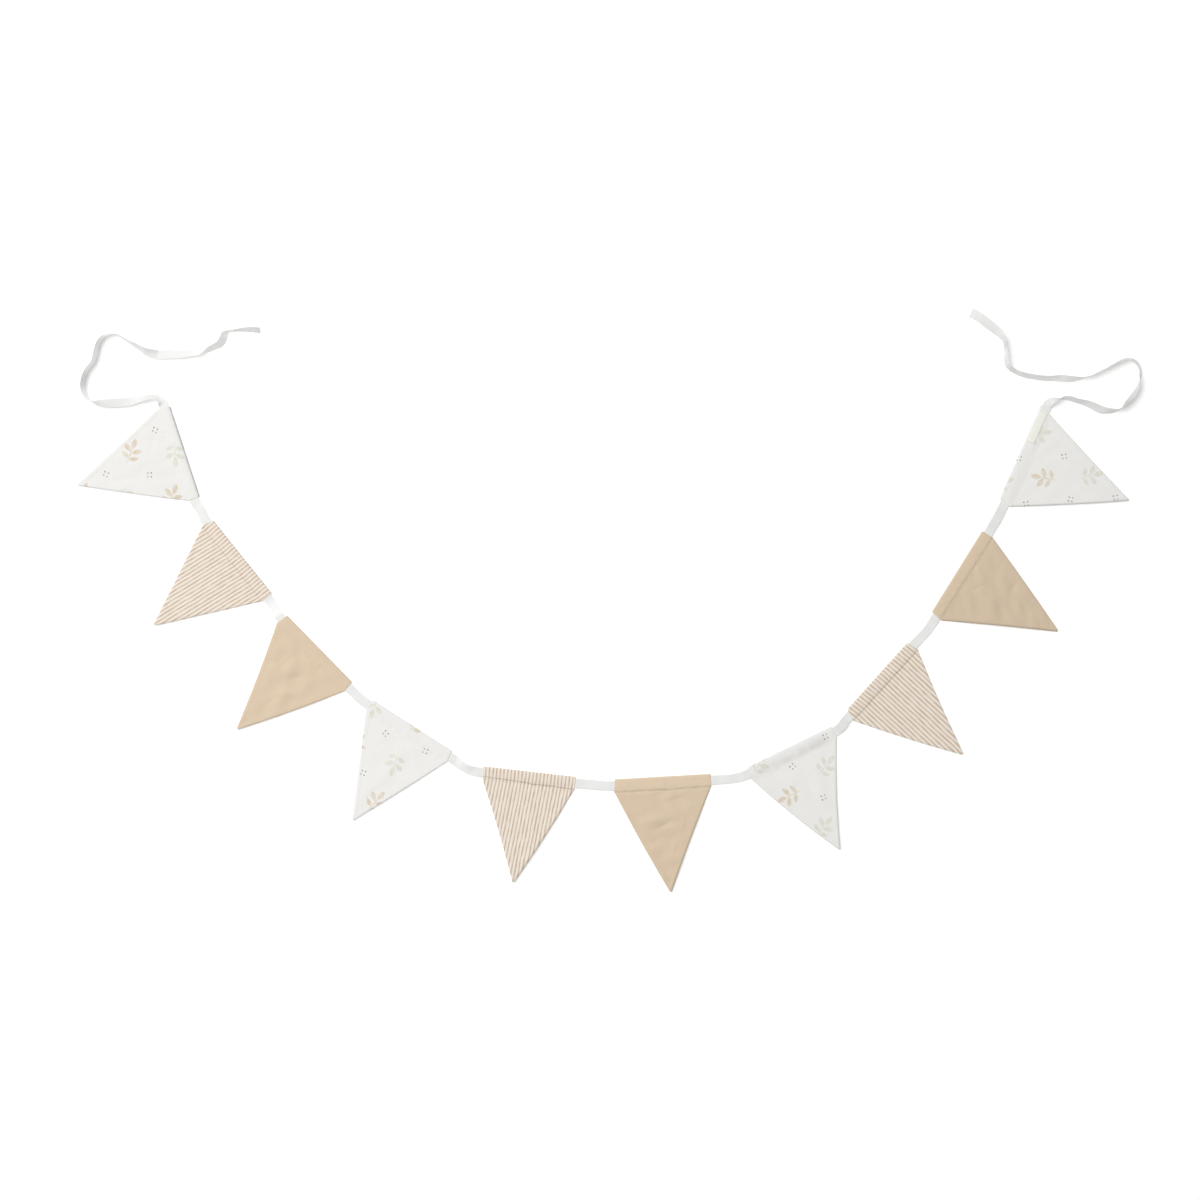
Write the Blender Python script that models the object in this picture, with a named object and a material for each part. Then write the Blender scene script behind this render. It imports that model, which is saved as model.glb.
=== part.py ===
"""Bunting of ten double-sided cloth flags threaded on one woven cotton tape.

It lies face up in a shallow U: the channels run along the inside of the U, the
tips point outwards, and the two tie ends of the tape are looped at the top.
+Z is up, +X is along the bunting's long side, and the origin is the middle of
its footprint, on the surface that it lies on. Tables are in millimetres and degrees.
"""

import math
from collections import namedtuple

import bmesh
import bpy
from mathutils import Vector

MM = 0.001

# Cloth and tape
CLOTH = 1.0  # thickness of one panel
TAPE = 1.0  # thickness of the tape
TAPE_WIDTH = 15.0
CHANNEL = 20.0  # from a flag's top edge to its stitched line
TIP_WIDTH = 3.0  # a turned point is never quite sharp
GAP = 0.3  # between pieces that touch
ROOM = 0.2  # more than the gap that the front panel leaves over the tape
CROWN = 0.4  # how far the channel rounds up along its middle
EASE = 0.7  # from the tape's edge to where the channel starts to fall
GAPE = 0.9  # how far a channel's two mouths open
GAPE_LENGTH = 14.0
LEVEL_BELOW = 5.0  # the body starts to lift this far below the stitched line
SIDE_LIFTS_OVER = 50.0
POINT_LIFTS_FROM = 60.0
POINT_LIFTS_OVER = 95.0
NARROW = 60.0  # where a flag is narrower than this its sides lift less
PUFF_POWER = 0.7  # under 1, the panels part soon after the stitched line
GROOVE_SHARE = 0.125  # of the body's height, over which the stitched groove fills out
HEM_LENGTH = 10.0
HEM = 2.0  # the tape's end is turned back once
HEM_STEP = 0.1  # the share of one station over which the hem ends

# Label
LABEL = 1.0
LABEL_LENGTH = 52.0
LABEL_AT = (48.0, 1.0)
LABEL_ROWS = (7.0, 4.0, 0.0, -4.0, -6.0)

# Rows run from the top edge to the tip, as a height above the channel's middle line
CHANNEL_ROWS = (10.0, 8.2, 4.0, 0.0, -4.0, -8.2, -10.0)
BODY_ROWS = (-15.0, -30.0, -45.0, -62.0, -82.0, -104.0, -126.0, -148.0)
COLUMNS = 8

# x, y and heading place the middle of a channel and the way the tape runs through it. The next
# four are how far the top edge and the stitched line reach back and on from there. tip and drop
# place the point, sway is how far the body bows to one side, puff is the air between the panels,
# and the last three are how far the point, the first side and the second side lift.
Flag = namedtuple(
    "Flag",
    "cloth x y heading top_from top_to seam_from seam_to tip drop sway puff tip_lift from_lift to_lift",
)
FLAGS = (
    Flag("print", -684, 232, -71.9, 74, 75, 77, 76, -2, 167, 0.0, 1.2, 1.5, 0.0, 1.8),
    Flag("stripe", -592, 63, -51.3, 73, 75, 76, 75, -2, 166, 0.5, 1.0, 2.5, 0.0, 1.4),
    Flag("plain", -469, -84, -45.7, 73, 73, 76, 75, 0, 171, 1.5, 1.6, 1.5, 0.5, 2.2),
    Flag("print", -320, -207, -32.7, 74, 73, 75, 76, 1, 166, 0.0, 1.2, 1.0, 0.0, 2.4),
    Flag("stripe", -131, -281, -6.5, 74, 73, 73, 73, -6, 166, 4.0, 1.1, 2.5, 0.0, 2.6),
    Flag("plain", 80, -289, 3.3, 75, 76, 77, 76, 3, 172, 1.0, 1.7, 1.5, 0.5, 2.4),
    Flag("print", 284, -241, 26.0, 72, 74, 76, 74, 1, 170, -1.5, 1.2, 2.0, 0.0, 1.6),
    Flag("stripe", 426, -127, 48.0, 70, 71, 77, 74, -1, 172, -1.5, 1.0, 2.0, 1.8, 0.0),
    Flag("plain", 553, 39, 58.1, 74, 76, 78, 76, 5, 174, 0.0, 1.5, 1.0, 2.2, 0.5),
    Flag("print", 653, 228, 66.3, 78, 84, 84, 75, 1, 177, 0.0, 1.3, 1.5, 2.4, 0.0),
)

# Soft wrinkles of the front panels, each a low ridge: the flag's number, its middle from the
# channel's middle, its bearing from the tape's, its half length, half width and height.
Wrinkle = namedtuple("Wrinkle", "flag x y bearing length width height")
WRINKLES = (
    Wrinkle(1, -8, -60, 70, 45, 12, 0.9),
    Wrinkle(2, 10, -75, 100, 40, 11, 0.7),
    Wrinkle(3, -15, -55, 35, 38, 12, 1.5),
    Wrinkle(3, 14, -85, 120, 34, 11, 1.2),
    Wrinkle(4, 6, -70, 80, 48, 12, 1.0),
    Wrinkle(5, 12, -80, 96, 52, 12, 1.1),
    Wrinkle(6, -14, -62, 25, 34, 12, 1.6),
    Wrinkle(6, 22, -55, 140, 26, 11, 1.2),
    Wrinkle(7, 16, -70, 75, 44, 12, 1.0),
    Wrinkle(8, -6, -72, 95, 42, 12, 0.8),
    Wrinkle(9, -12, -58, 50, 36, 12, 1.4),
    Wrinkle(9, 18, -95, 110, 32, 11, 0.9),
    Wrinkle(10, 4, -80, 85, 50, 13, 1.1),
)

# How the tape hangs together between one flag and the next: how far it twists and turns aside.
Link = namedtuple("Link", "twist aside")
LINKS = (
    Link(8, 2.5),
    Link(0, 0.5),
    Link(-6, 0.0),
    Link(24, -1.5),
    Link(-8, 1.0),
    Link(10, 0.0),
    Link(-14, 0.0),
    Link(6, -1.0),
    Link(-7, 0.0),
)

# The tie ends, bend by bend in the tape's own direction. roll is 0 where the tape lies flat and
# 90 or -90 where it stands on its edge.
Bend = namedtuple("Bend", "x y roll")
FIRST_END = (
    Bend(-556, 426, 124),
    Bend(-567, 427, 121),
    Bend(-580, 427, 114),
    Bend(-593, 426, 98),
    Bend(-604, 425, 96),
    Bend(-611, 421, 125),
    Bend(-614, 413, 140),
    Bend(-619, 405, 138),
    Bend(-628, 400, 126),
    Bend(-636, 396, 118),
    Bend(-643, 392, 100),
    Bend(-651, 390, 62),
    Bend(-667, 389, 44),
    Bend(-683, 388, 30),
    Bend(-698, 388, 18),
    Bend(-714, 387, 6),
    Bend(-725, 389, -20),
    Bend(-735, 392, -43),
    Bend(-744, 397, -58),
    Bend(-754, 403, -66),
    Bend(-765, 409, -74),
    Bend(-779, 418, -86),
    Bend(-788, 420, -98),
    Bend(-796, 419, -106),
    Bend(-805, 414, -120),
    Bend(-811, 405, -128),
    Bend(-814, 395, -129),
    Bend(-817, 382, -128),
    Bend(-821, 373, -124),
    Bend(-828, 365, -122),
    Bend(-833, 354, -128),
    Bend(-836, 340, -125),
    Bend(-834, 327, -114),
    Bend(-829, 319, -104),
    Bend(-822, 314, -88),
    Bend(-814, 312, -64),
    Bend(-804, 311, -40),
    Bend(-785, 311, -18),
    Bend(-763, 313, -22),
    Bend(-746, 317, -45),
    Bend(-730, 320, -55),
    Bend(-719, 320, -52),
    Bend(-712, 315, -34),
)
LAST_END = (
    Bend(693, 313, -34),
    Bend(700, 316, -60),
    Bend(707, 318, -88),
    Bend(715, 319, -112),
    Bend(724, 318, -116),
    Bend(736, 314, -115),
    Bend(748, 311, -124),
    Bend(760, 306, -133),
    Bend(771, 301, -141),
    Bend(782, 299, -126),
    Bend(792, 299, -112),
    Bend(801, 301, -98),
    Bend(808, 306, -82),
    Bend(814, 312, -66),
    Bend(821, 320, -62),
    Bend(827, 329, -66),
    Bend(831, 338, -78),
    Bend(833, 350, -104),
    Bend(834, 361, -116),
    Bend(831, 370, -118),
    Bend(825, 377, -114),
    Bend(816, 380, -108),
    Bend(805, 378, -103),
    Bend(791, 371, -98),
    Bend(777, 364, -95),
    Bend(763, 357, -92),
    Bend(750, 352, -86),
    Bend(739, 350, -74),
    Bend(724, 349, -52),
    Bend(710, 350, -43),
    Bend(698, 350, -56),
    Bend(684, 350, -58),
    Bend(668, 352, -62),
    Bend(652, 355, -62),
    Bend(640, 359, -66),
    Bend(631, 364, -67),
    Bend(625, 370, -66),
    Bend(623, 379, -63),
    Bend(622, 391, -73),
    Bend(621, 402, -76),
    Bend(619, 411, -70),
    Bend(613, 419, -54),
    Bend(605, 427, -35),
    Bend(594, 436, -15),
    Bend(583, 445, -5),
    Bend(573, 451, 0),
    Bend(567, 454, 0),
)
STATION = 6.0  # between sections of the tape where it bends
LEAST_STEPS = 4
SINKS = 1.4  # above 1, the tape lies on the surface along the middle of a link
CLEAR_OF_MOUTH = 3.0  # the tape stays level this far past a channel's mouth
FLOOR_GAP = 0.15  # under the tape between two flags

# sRGB colour and roughness
FINISHES = {
    "print": ((240, 237, 231), 0.85),
    "stripe": ((226, 213, 197), 0.85),
    "plain": ((213, 195, 170), 0.88),
    "tape": ((234, 234, 229), 0.8),
    "label": ((236, 231, 214), 0.7),
}

UP = Vector((0, 0, 1))


def smooth(value):
    """0 below 0, 1 above 1 and an even ease between them."""
    value = min(1.0, max(0.0, value))
    return value * value * (3 - 2 * value)


def linear(channel):
    """An sRGB channel of 0 to 255 as the light value that a material takes."""
    channel /= 255
    return channel / 12.92 if channel <= 0.04045 else ((channel + 0.055) / 1.055) ** 2.4


def cloth_material(piece, finish):
    """A material of the piece's own, in the colour and roughness of its cloth."""
    colour, roughness = FINISHES[finish]
    material = bpy.data.materials.new(piece)
    material.use_nodes = True
    shader = material.node_tree.nodes["Principled BSDF"]
    shader.inputs["Base Color"].default_value = (*map(linear, colour), 1)
    shader.inputs["Roughness"].default_value = roughness
    shader.inputs["Metallic"].default_value = 0
    return material


def add_object(name, mesh, finish, parent):
    """Puts a mesh in the scene as one smooth-shaded piece."""
    mesh.shade_smooth()
    mesh.set_sharp_from_angle(angle=math.radians(40))
    piece = bpy.data.objects.new(name, mesh)
    piece.data.materials.append(cloth_material(name, finish))
    piece.parent = parent
    bpy.context.collection.objects.link(piece)
    return piece


def sides(flag, y):
    """The x of a flag's two sides at height y: upright along the channel, then in to the point."""
    edge = CHANNEL / 2
    if y >= -edge:
        share = (y + edge) / CHANNEL
        first = flag.seam_from + (flag.top_from - flag.seam_from) * share
        second = flag.seam_to + (flag.top_to - flag.seam_to) * share
        return -first, second
    share = (-edge - y) / (flag.drop - edge)
    bow = flag.sway * math.sin(math.pi * share)
    first = -flag.seam_from + (flag.tip - TIP_WIDTH / 2 + flag.seam_from) * share
    second = flag.seam_to + (flag.tip + TIP_WIDTH / 2 - flag.seam_to) * share
    return first + bow, second + bow


def across(flag, x, y):
    """Where x lies between a flag's two sides, from -1 to 1."""
    first, second = sides(flag, y)
    return (2 * x - first - second) / (second - first)


def lift(flag, x, y):
    """How far both panels stand off the surface: nothing at the channel, some at point and sides."""
    below = -CHANNEL / 2 - LEVEL_BELOW - y
    side = across(flag, x, y)
    first, second = sides(flag, y)
    point = flag.tip_lift * smooth((below - POINT_LIFTS_FROM) / POINT_LIFTS_OVER)
    edges = flag.from_lift * max(0.0, -side) ** 2 + flag.to_lift * max(0.0, side) ** 2
    return point + edges * smooth(below / SIDE_LIFTS_OVER) * smooth((second - first) / NARROW)


def channel_rise(flag, x, y):
    """How far the tape holds the front panel up: a low round, open at the mouths."""
    fall_from = TAPE_WIDTH / 2 + EASE
    over_tape = 1 - smooth((abs(y) - fall_from) / (CHANNEL / 2 - fall_from))
    crown = CROWN * max(0.0, 1 - (y / fall_from) ** 2)
    first, second = sides(flag, y)
    mouth = min(x - first, second - x)
    gape = GAPE * smooth(1 - mouth / GAPE_LENGTH)
    return (TAPE + GAP + ROOM + crown + gape) * over_tape


def wrinkle_height(number, x, y):
    """The soft ridges of one flag's front panel."""
    height = 0.0
    for ridge in WRINKLES:
        if ridge.flag != number:
            continue
        turn = math.radians(ridge.bearing)
        dx, dy = x - ridge.x, y - ridge.y
        along = dx * math.cos(turn) + dy * math.sin(turn)
        aside = dy * math.cos(turn) - dx * math.sin(turn)
        height += ridge.height * math.exp(-((along / ridge.length) ** 2) - (aside / ridge.width) ** 2)
    return height


def back_height(number, x, y):
    """The underside of a flag's back panel."""
    return lift(FLAGS[number - 1], x, y)


def front_height(number, x, y):
    """The underside of a flag's front panel: over the tape, in the stitched groove, and on the body."""
    flag = FLAGS[number - 1]
    height = CLOTH + GAP + lift(flag, x, y)
    if y >= -CHANNEL / 2:
        return height + channel_rise(flag, x, y)
    share = (-CHANNEL / 2 - y) / (flag.drop - CHANNEL / 2)
    inside = max(0.0, 1 - across(flag, x, y) ** 4)
    puff = flag.puff * math.sin(math.pi * share) ** PUFF_POWER
    return height + (puff + wrinkle_height(number, x, y)) * inside * smooth(share / GROOVE_SHARE)


def sheet_mesh(name, rows, row_ends, height):
    """The underside of a sheet: a grid whose rows run between row_ends(y)."""
    bm = bmesh.new()
    bmesh.ops.create_grid(bm, x_segments=COLUMNS, y_segments=len(rows) - 1, size=0.5)
    for vertex in bm.verts:
        share = vertex.co.x + 0.5
        y = rows[round((0.5 - vertex.co.y) * (len(rows) - 1))]
        first, second = row_ends(y)
        x = first + (second - first) * share
        vertex.co = Vector((x, y, height(x, y))) * MM
    mesh = bpy.data.meshes.new(name)
    bm.to_mesh(mesh)
    bm.free()
    return mesh


def add_sheet(name, rows, row_ends, height, thickness, finish, parent):
    """Adds a sheet of cloth as one closed piece, thickened upwards from its underside."""
    piece = add_object(name, sheet_mesh(name, rows, row_ends, height), finish, parent)
    solidify = piece.modifiers.new("cloth", "SOLIDIFY")
    solidify.thickness = thickness * MM
    solidify.offset = 1
    return piece


def add_flag(number, flag, parent):
    """One flag: a back panel on the surface and a front panel over the tape and over it."""
    body = (*BODY_ROWS, -float(flag.drop))
    panels = (
        ("back", (CHANNEL_ROWS[0], *body), back_height),
        ("front", (*CHANNEL_ROWS, *body), front_height),
    )
    for side, rows, height in panels:
        piece = add_sheet(
            f"flag_{number:02d}_{side}",
            rows,
            lambda y: sides(flag, y),
            lambda x, y: height(number, x, y),
            CLOTH,
            flag.cloth,
            parent,
        )
        piece.location = Vector((flag.x, flag.y, 0)) * MM
        piece.rotation_euler.z = math.radians(flag.heading)


def add_label(number, parent):
    """The small blank label on the last flag's channel."""
    flag = FLAGS[number - 1]
    middle, offset = LABEL_AT
    ends = (middle - LABEL_LENGTH / 2, middle + LABEL_LENGTH / 2)
    piece = add_sheet(
        "label",
        [row + offset for row in LABEL_ROWS],
        lambda y: ends,
        lambda x, y: front_height(number, x, y) + CLOTH + 2 * GAP,
        LABEL,
        "label",
        parent,
    )
    piece.location = Vector((flag.x, flag.y, 0)) * MM
    piece.rotation_euler.z = math.radians(flag.heading)


Section = namedtuple("Section", "point roll thickness")
LEVEL = CLOTH + GAP + TAPE / 2  # the tape's middle where it lies on a back panel


def resting(roll):
    """The height of the tape's middle where its lower edge is just clear of the surface."""
    turn = math.radians(roll)
    half = TAPE_WIDTH / 2 * abs(math.sin(turn)) + TAPE / 2 * abs(math.cos(turn))
    return half + FLOOR_GAP


def in_channel(flag, x):
    """A point of the tape's middle line, x along a flag's channel."""
    turn = math.radians(flag.heading)
    return Vector((flag.x + x * math.cos(turn), flag.y + x * math.sin(turn), LEVEL))


def reach(flag):
    """How far the tape runs straight and level through a flag, back and on."""
    back = max(flag.top_from, flag.seam_from) + CLEAR_OF_MOUTH
    on = max(flag.top_to, flag.seam_to) + CLEAR_OF_MOUTH
    return -back, on


def link_sections(flag, following, link):
    """The tape between two flags: a soft curve that sinks to the surface and twists a little."""
    start = in_channel(flag, reach(flag)[1])
    end = in_channel(following, reach(following)[0])
    pull = (end - start).length / 3
    ahead = (in_channel(flag, reach(flag)[1] + pull), in_channel(following, reach(following)[0] - pull))
    aside = UP.cross(end - start).normalized()
    steps = max(LEAST_STEPS, round((end - start).length / STATION))
    sections = []
    for step in range(1, steps):
        share = step / steps
        rest = 1 - share
        point = start * rest**3 + ahead[0] * 3 * rest**2 * share + ahead[1] * 3 * rest * share**2
        point += end * share**3
        swell = math.sin(math.pi * share) ** 2
        roll = link.twist * swell
        point += aside * link.aside * swell
        point.z = LEVEL + (resting(roll) - LEVEL) * min(1.0, SINKS * swell)
        sections.append(Section(point, roll, TAPE))
    return sections


def curve_through(bends):
    """Bends joined by one smooth curve, with a section every few millimetres."""
    sections = []
    padded = (bends[0], *bends, bends[-1])
    for before, here, there, after in zip(padded, padded[1:], padded[2:], padded[3:]):
        steps = max(1, round(math.hypot(there.x - here.x, there.y - here.y) / STATION))
        for step in range(steps):
            t = step / steps
            weights = (
                (-t + 2 * t**2 - t**3) / 2,
                (2 - 5 * t**2 + 3 * t**3) / 2,
                (t + 4 * t**2 - 3 * t**3) / 2,
                (t**3 - t**2) / 2,
            )
            around = (before, here, there, after)
            x, y, roll = (sum(w * bend[i] for w, bend in zip(weights, around)) for i in range(3))
            sections.append(Section(Vector((x, y, resting(roll))), roll, TAPE))
    last = bends[-1]
    sections.append(Section(Vector((last.x, last.y, resting(last.roll))), last.roll, TAPE))
    return sections


def hemmed(sections):
    """The same sections, twice as thick along the hem that the first of them ends in."""
    finished, length, last = [], 0.0, sections[0]
    for section in sections:
        length += (section.point - last.point).length
        last = section
        thickness = HEM if length <= HEM_LENGTH else TAPE
        middle = section.point + UP * (thickness - TAPE) / 2
        if finished and finished[-1].thickness != thickness:
            step = finished[-1].point.lerp(middle, HEM_STEP)
            step.z = middle.z
            finished.append(Section(step, section.roll, thickness))
        finished.append(Section(middle, section.roll, thickness))
    return finished


def tape_sections():
    """Every section of the tape, from its first tie end through the ten channels to its last."""
    first_mouth = in_channel(FLAGS[0], reach(FLAGS[0])[0])
    last_mouth = in_channel(FLAGS[-1], reach(FLAGS[-1])[1])
    lead_in = (*FIRST_END, Bend(first_mouth.x, first_mouth.y, 0))
    lead_out = (Bend(last_mouth.x, last_mouth.y, 0), *LAST_END)
    sections = hemmed(curve_through(lead_in)[:-1])
    for index, flag in enumerate(FLAGS):
        back, on = reach(flag)
        sections += [Section(in_channel(flag, x), 0.0, TAPE) for x in (back, 0.0, on)]
        if index < len(LINKS):
            sections += link_sections(flag, FLAGS[index + 1], LINKS[index])
    return sections + hemmed(curve_through(lead_out)[:0:-1])[::-1]


def add_tape(parent):
    """The tape: one strip swept through its sections, with square ends."""
    sections = tape_sections()
    bm = bmesh.new()
    rings = []
    for before, here, after in zip([sections[0], *sections], sections, [*sections[1:], sections[-1]]):
        ahead = (after.point - before.point).normalized()
        level = UP.cross(ahead).normalized()
        rise = ahead.cross(level)
        turn = math.radians(here.roll)
        width = (level * math.cos(turn) + rise * math.sin(turn)) * TAPE_WIDTH / 2
        depth = (rise * math.cos(turn) - level * math.sin(turn)) * here.thickness / 2
        corners = (width + depth, -width + depth, -width - depth, width - depth)
        rings.append([bm.verts.new((here.point + corner) * MM) for corner in corners])
    for ring, following in zip(rings, rings[1:]):
        for side in range(4):
            other = (side + 1) % 4
            corners = (ring[side], ring[other], following[other], following[side])
            # Both faces of the tape split along the same diagonal, so that a twist keeps them apart.
            turned = 1 if side == 2 else 0
            a, b, c, d = corners[turned:] + corners[:turned]
            bm.faces.new((a, b, c))
            bm.faces.new((a, c, d))
    bm.faces.new(rings[0][::-1])
    bm.faces.new(rings[-1])
    bmesh.ops.recalc_face_normals(bm, faces=bm.faces)
    mesh = bpy.data.meshes.new("tape")
    bm.to_mesh(mesh)
    bm.free()
    add_object("tape", mesh, "tape", parent)


def centre_on_origin(parent):
    """Moves the parent so that the footprint's middle is the origin and the lowest point is at 0."""
    bpy.context.view_layer.update()
    graph = bpy.context.evaluated_depsgraph_get()
    points = []
    for piece in parent.children:
        evaluated = piece.evaluated_get(graph)
        points += [evaluated.matrix_world @ vertex.co for vertex in evaluated.data.vertices]
    low = [min(point[axis] for point in points) for axis in range(3)]
    high = [max(point[axis] for point in points) for axis in range(3)]
    parent.location = (-(low[0] + high[0]) / 2, -(low[1] + high[1]) / 2, -low[2])


def main():
    for leftover in list(bpy.data.objects):
        bpy.data.objects.remove(leftover, do_unlink=True)
    bunting = bpy.data.objects.new("bunting", None)
    bpy.context.collection.objects.link(bunting)
    for number, flag in enumerate(FLAGS, start=1):
        add_flag(number, flag, bunting)
    add_label(len(FLAGS), bunting)
    add_tape(bunting)
    centre_on_origin(bunting)


main()
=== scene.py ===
"""Looks of a cotton bunting: ten double-sided flags threaded on one woven tape with tie ends.

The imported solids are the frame. Each panel, the tape and the blank label is a finer sheet of
cloth on its own solid, with turned edges, a stitched channel, seam lines, soft creases and woven
finishes. Tables and shapes are in millimetres and degrees, and MM takes them to metres.
"""

import logging
import math
from collections.abc import Sequence
from dataclasses import dataclass, field
from enum import Enum
from functools import reduce

import bpy
import numpy as np
from mathutils import Matrix, Vector

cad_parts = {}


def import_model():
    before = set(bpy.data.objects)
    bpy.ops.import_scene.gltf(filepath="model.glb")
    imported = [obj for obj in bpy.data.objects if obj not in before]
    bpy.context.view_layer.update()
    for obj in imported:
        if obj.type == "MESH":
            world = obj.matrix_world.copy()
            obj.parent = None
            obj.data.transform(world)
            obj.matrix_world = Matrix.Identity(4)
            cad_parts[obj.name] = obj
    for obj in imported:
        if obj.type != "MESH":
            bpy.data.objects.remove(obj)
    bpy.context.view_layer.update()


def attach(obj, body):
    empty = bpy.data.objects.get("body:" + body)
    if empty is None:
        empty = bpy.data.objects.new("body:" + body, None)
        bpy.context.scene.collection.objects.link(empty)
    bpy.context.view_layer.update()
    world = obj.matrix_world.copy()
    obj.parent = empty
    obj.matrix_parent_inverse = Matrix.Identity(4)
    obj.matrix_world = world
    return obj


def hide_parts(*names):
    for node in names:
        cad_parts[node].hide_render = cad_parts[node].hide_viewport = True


LOG = logging.getLogger("bunting")
MM = 0.001
UP = Vector((0, 0, 1))
CENTRED = Matrix.Translation((3.09, 0, 0))  # from the tables' origin to the bunting's middle
Array = np.ndarray
Material = bpy.types.Material
Object = bpy.types.Object
Colour = tuple[int, int, int]
Inputs = dict[str | int, object]

# The cut, as the solids have it
CHANNEL = 20.0  # from a flag's top edge to its stitched line
SEAM_LINE = -CHANNEL / 2
TIP_WIDTH = 3.0
SOLID_CLOTH = 1.0  # thickness of one panel's solid
GAP = 0.3
TAPE_WIDTH = 15.0
SOLID_TAPE = 1.0
TAPE_LEVEL = SOLID_CLOTH + GAP + SOLID_TAPE / 2
HEM_LENGTH = 10.0

# How the sides and the point lift off the surface, in distances below the stitched line
LIFT_FROM = 5.0
SIDE_RUN = 50.0
SIDE_WIDTH = 60.0  # a body narrower than this lifts its sides less
POINT_FROM = 60.0
POINT_RUN = 95.0

# How the front panel lies over the tape
TAPE_RISE = 0.68
CROWN = 0.55
CROWN_REACH = 8.2
MOUTH = 5.0  # how far in from a mouth the crown is lower
MOUTH_SAG = 0.4
TOP_FALL = 1.8
FOOT = 7.4  # where the panel starts to come down to the stitched line

# The stitched line, its step, and the lap of the channel's two turnings there
SEAM_RUN = 2.0  # the height over which sewn sides give way to a channel's open mouths
STEP_AT = 6.0
STEP_REACH = 16.0
STEP_RUN = 2.0
PUCKER_REACH = 4.0
GROOVE_DEPTH = 0.04
GROOVE_WIDTH = 0.9
LINE_DEPTH = 1.1  # how much deeper the groove of a line of darkness 1 would be
DENT_DEPTH = 0.55
DENT_WIDTH = 1.1
LAP_AT = 4.0
LAP_REACH = 24.0
LAP_RUN = 1.1
LAP_FALL = 2.0

# The cloth itself
CLOTH = 0.7
TAPE = 0.8
EDGE_ROUND = 1.8  # how far in from a sewn edge the panels round over
EDGE_PARTING = 0.06  # half the fine line between the two panels at a sewn edge
ALLOWANCE = 6.0  # the seam allowance turned inside a sewn edge
ALLOWANCE_RISE = 0.28
ALLOWANCE_RUN = 1.6
ALLOWANCE_TOP = 3.0
SLACK_REACH = 9.0
BODY_RUN = 8.0  # how far below the channel the body has filled out
PUFF_POWER = 0.7  # below 1, for a body that fills out early
RIM = 5.0  # how far in a fold's shade reaches


def smooth(value: Array | float) -> Array | float:
    """0 below 0, 1 above 1 and an even ease between them."""
    held = np.clip(value, 0.0, 1.0)
    return held * held * (3 - 2 * held)


def hump(distance: Array | float, width: float) -> Array | float:
    """A soft bell of height 1 that is one width wide each way."""
    return np.exp(-((distance / width) ** 2))


@dataclass(frozen=True)
class Ripple:
    """Smooth uneven relief of a few crossing waves, whose directions the seed picks."""

    height: float
    wavelength: float
    seed: int = 0
    waves: int = 6
    spread: tuple[float, float] = (0.7, 1.6)

    def at(self, x: Array, y: Array, number: int = 0) -> Array:
        """The relief at each place, from about -height to height.

        Args:
            x: Places along the cloth.
            y: Places across the cloth.
            number: The flag's number, which makes each flag's relief its own.

        Returns:
            The heights.
        """
        draws = np.random.default_rng(self.seed + number)
        total = np.zeros(np.broadcast(x, y).shape)
        for _ in range(self.waves):
            turn, phase = draws.uniform(0, 2 * math.pi, 2)
            pace = 2 * math.pi / (self.wavelength * draws.uniform(*self.spread))
            total += np.sin(pace * (x * math.cos(turn) + y * math.sin(turn)) + phase)
        return self.height * (total / math.sqrt(self.waves))


def stretches(stops: Sequence[float], steps: Sequence[float]) -> Array:
    """Places along a line, with a spacing of its own on each stretch.

    Args:
        stops: Where each stretch starts and where the last one ends.
        steps: The widest spacing on each stretch.

    Returns:
        The places in order, each one once.
    """
    places = [np.array([stops[0]])]
    for start, end, step in zip(stops, stops[1:], steps):
        count = max(1, math.ceil(abs(end - start) / step))
        places.append(np.linspace(start, end, count + 1)[1:])
    return np.concatenate(places)


def linear_rgb(colour: Colour) -> tuple[float, ...]:
    """An sRGB colour of 0 to 255 as the light values that a shader takes."""
    shares = [channel / 255 for channel in colour]
    return tuple(c / 12.92 if c <= 0.04045 else ((c + 0.055) / 1.055) ** 2.4 for c in shares)


class Cloth(Enum):
    """The three cottons, each by the name of its material slot."""

    PRINTED = "printed_cotton"
    STRIPED = "striped_cotton"
    PLAIN = "plain_cotton"


class Side(Enum):
    """The two panels of a flag."""

    FRONT = "front"
    BACK = "back"


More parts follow.
